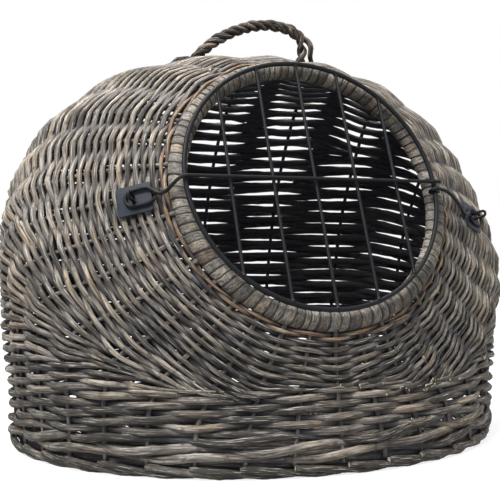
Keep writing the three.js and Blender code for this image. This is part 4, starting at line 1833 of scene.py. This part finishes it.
    def hasp(self, finish: bpy.types.Material) -> None:
        """Make the hasp: hooked round the ring, and run out to an eye over the latch staple.

        Args:
            finish: Finish of the wire.
        """
        matrix = self.matrix()
        loop = self.ring_wire + self.hasp_play + self.hasp_wire
        x = math.sqrt(self.radius ** 2 - self.hasp_drop ** 2)
        hook = [matrix @ Vector((x + loop * math.cos(a), -self.hasp_drop, loop * math.sin(a)))
                for a in np.radians(np.linspace(*self.hook_turns, self.hook_samples))]
        eye = self.latch.eye(self.hasp_wire, self.hasp_slack, self.hasp_front)
        away = matrix.to_3x3() @ Vector((1, 0, 0))
        bend_wire("wire_hasp", hook + self.arm(hook[-1], away, eye)[1:] + eye, self.hasp_wire,
                  "latch_hasp", finish, Body.HASP)

    def build(self, wire: bpy.types.Material) -> None:
        """Make the door and the hasp.

        Args:
            wire: Finish of the wire.
        """
        self.ring(wire)
        for index in range(self.bars):
            self.bar(index, wire)
        self.crossbar(wire)
        self.hasp(wire)


@dataclass(frozen=True)
class Lamp:
    """Square soft light that faces the carrier."""

    name: str
    place: tuple[float, float, float]
    size: float
    power: float
    aim: tuple[float, float, float] = (0.0, 0.0, 0.2)

    def hang(self) -> None:
        """Put the light in its place."""
        data = bpy.data.lights.new(self.name, "AREA")
        data.size = self.size
        data.energy = self.power
        lamp = add_object(self.name, data)
        lamp.location = self.place
        lamp.rotation_euler = (Vector(self.aim) - Vector(self.place)).to_track_quat("-Z", "Y").to_euler()


@dataclass
class Studio:
    """Camera at the photograph's place, a white sweep and soft light."""

    eye: tuple[float, float, float] = (-0.3434, -0.8957, 0.1896)
    azimuth: float = math.radians(20.86)
    focal_pixels: float = 950.4
    frame_pixels: float = 500.0
    centre_x: float = 253.5
    centre_y: float = 242.2
    sensor: float = 36.0
    floor_size: float = 60.0
    low_light: float = 0.06
    high_light: float = 0.75
    horizon: float = -0.2
    lamps: tuple[Lamp, ...] = (Lamp("key", (-1.2, -1.0, 2.1), 1.0, 80),
                               Lamp("fill", (1.5, -1.3, 1.4), 1.4, 9),
                               Lamp("top", (-0.2, 0.2, 2.3), 1.2, 64))

    def camera(self) -> None:
        """Place the camera, turned so that its middle is the photograph's."""
        data = bpy.data.cameras.new("camera")
        data.sensor_width = self.sensor
        data.lens = self.sensor * self.focal_pixels / self.frame_pixels
        forward = Vector((math.sin(self.azimuth), math.cos(self.azimuth), 0))
        right = Vector((math.cos(self.azimuth), -math.sin(self.azimuth), 0))
        middle = self.frame_pixels / 2
        aim = (forward + right * ((middle - self.centre_x) / self.focal_pixels)
               + Vector((0, 0, 1)) * ((self.centre_y - middle) / self.focal_pixels))
        camera = add_object("camera", data)
        camera.location = self.eye
        camera.rotation_euler = aim.to_track_quat("-Z", "Y").to_euler()
        bpy.context.scene.camera = camera

    def sweep(self) -> None:
        """Lay the floor."""
        deselect()
        bpy.ops.mesh.primitive_plane_add(size=self.floor_size, location=(0, 0, 0))
        floor = bpy.context.object
        floor.name = floor.data.name = "studio_floor"
        floor.data.materials.append(StudioWhite().material())

    def world(self) -> None:
        """Light the room softly from above, and show it white to the camera."""
        world = bpy.data.worlds.new("studio")
        bpy.context.scene.world = world
        world.use_nodes = True
        tree = world.node_tree
        tree.nodes.clear()
        place = add_node(tree, "ShaderNodeTexCoord")
        height = add_node(tree, "ShaderNodeSeparateXYZ", {0: place.outputs["Generated"]})
        sky = add_node(tree, "ShaderNodeMapRange", {
            "Value": height.outputs[2], "From Min": self.horizon, "To Min": self.low_light,
            "To Max": self.high_light})
        level = add_node(tree, "ShaderNodeMix", {0: looked_at(tree), 2: sky.outputs[0], 3: 1.0})
        back = add_node(tree, "ShaderNodeBackground", {"Color": WHITE, "Strength": level.outputs[0]})
        add_node(tree, "ShaderNodeOutputWorld", {"Surface": back.outputs[0]})

    def build(self) -> None:
        """Set up the whole studio."""
        bpy.context.scene.view_settings.view_transform = "Standard"
        self.camera()
        self.sweep()
        self.world()
        for lamp in self.lamps:
            lamp.hang()


def main() -> None:
    """Build the studio and every piece of the carrier."""
    logging.basicConfig(level=logging.INFO, format="%(name)s %(message)s")
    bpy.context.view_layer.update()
    Studio().build()
    wall = Wall()
    willow = WeatheredWillow().material()
    # Split willow shows a finer grain than whole rods, and fewer bare fibres.
    binding = WeatheredWillow(name="split_willow_binding", dark="#2b2927", mid="#6e6963", light="#9a948b",
                              pale="#c0b9ae", streak_length=5 * MM, streak_width=0.8 * MM, knot=2.6 * MM,
                              patch=24 * MM, fibre_share=0.15).material()
    # The strands of the handle kept their bark, which has gone a dark brown.
    twisted = WeatheredWillow(name="dark_twisted_willow", dark="#1f1916", mid="#40352e", light="#6a5c52",
                              pale="#948579", tan="#5c4433", patch=18 * MM, wear_length=26 * MM).material()
    wire = LacqueredSteel().material()
    # Lacquer lies thinner on the sheet than on the wire, and looks more grey.
    sheet = LacqueredSteel(name="lacquered_sheet", colour="#1d2129", worn="#2e343f", roughness=0.5).material()
    Weave(wall).build(willow)
    foot = Foot(wall)
    foot.border(willow)
    foot.floor(willow)
    Rim(wall.mouth).build(binding)
    Handle(wall).build(twisted)
    hinge = Fitting(wall, math.radians(182.5), 36 * MM)
    latch = Fitting(wall, math.radians(-4.5), 61 * MM)
    for fitting, side in ((hinge, "hinge"), (latch, "latch")):
        fitting.plate(f"{side}_sheet", f"{side}_plate", sheet)
        fitting.staple(f"{side}_bow", f"{side}_staple", wire)
    Door(wall, hinge, latch).build(wire)


if __name__ == "__main__":
    main()
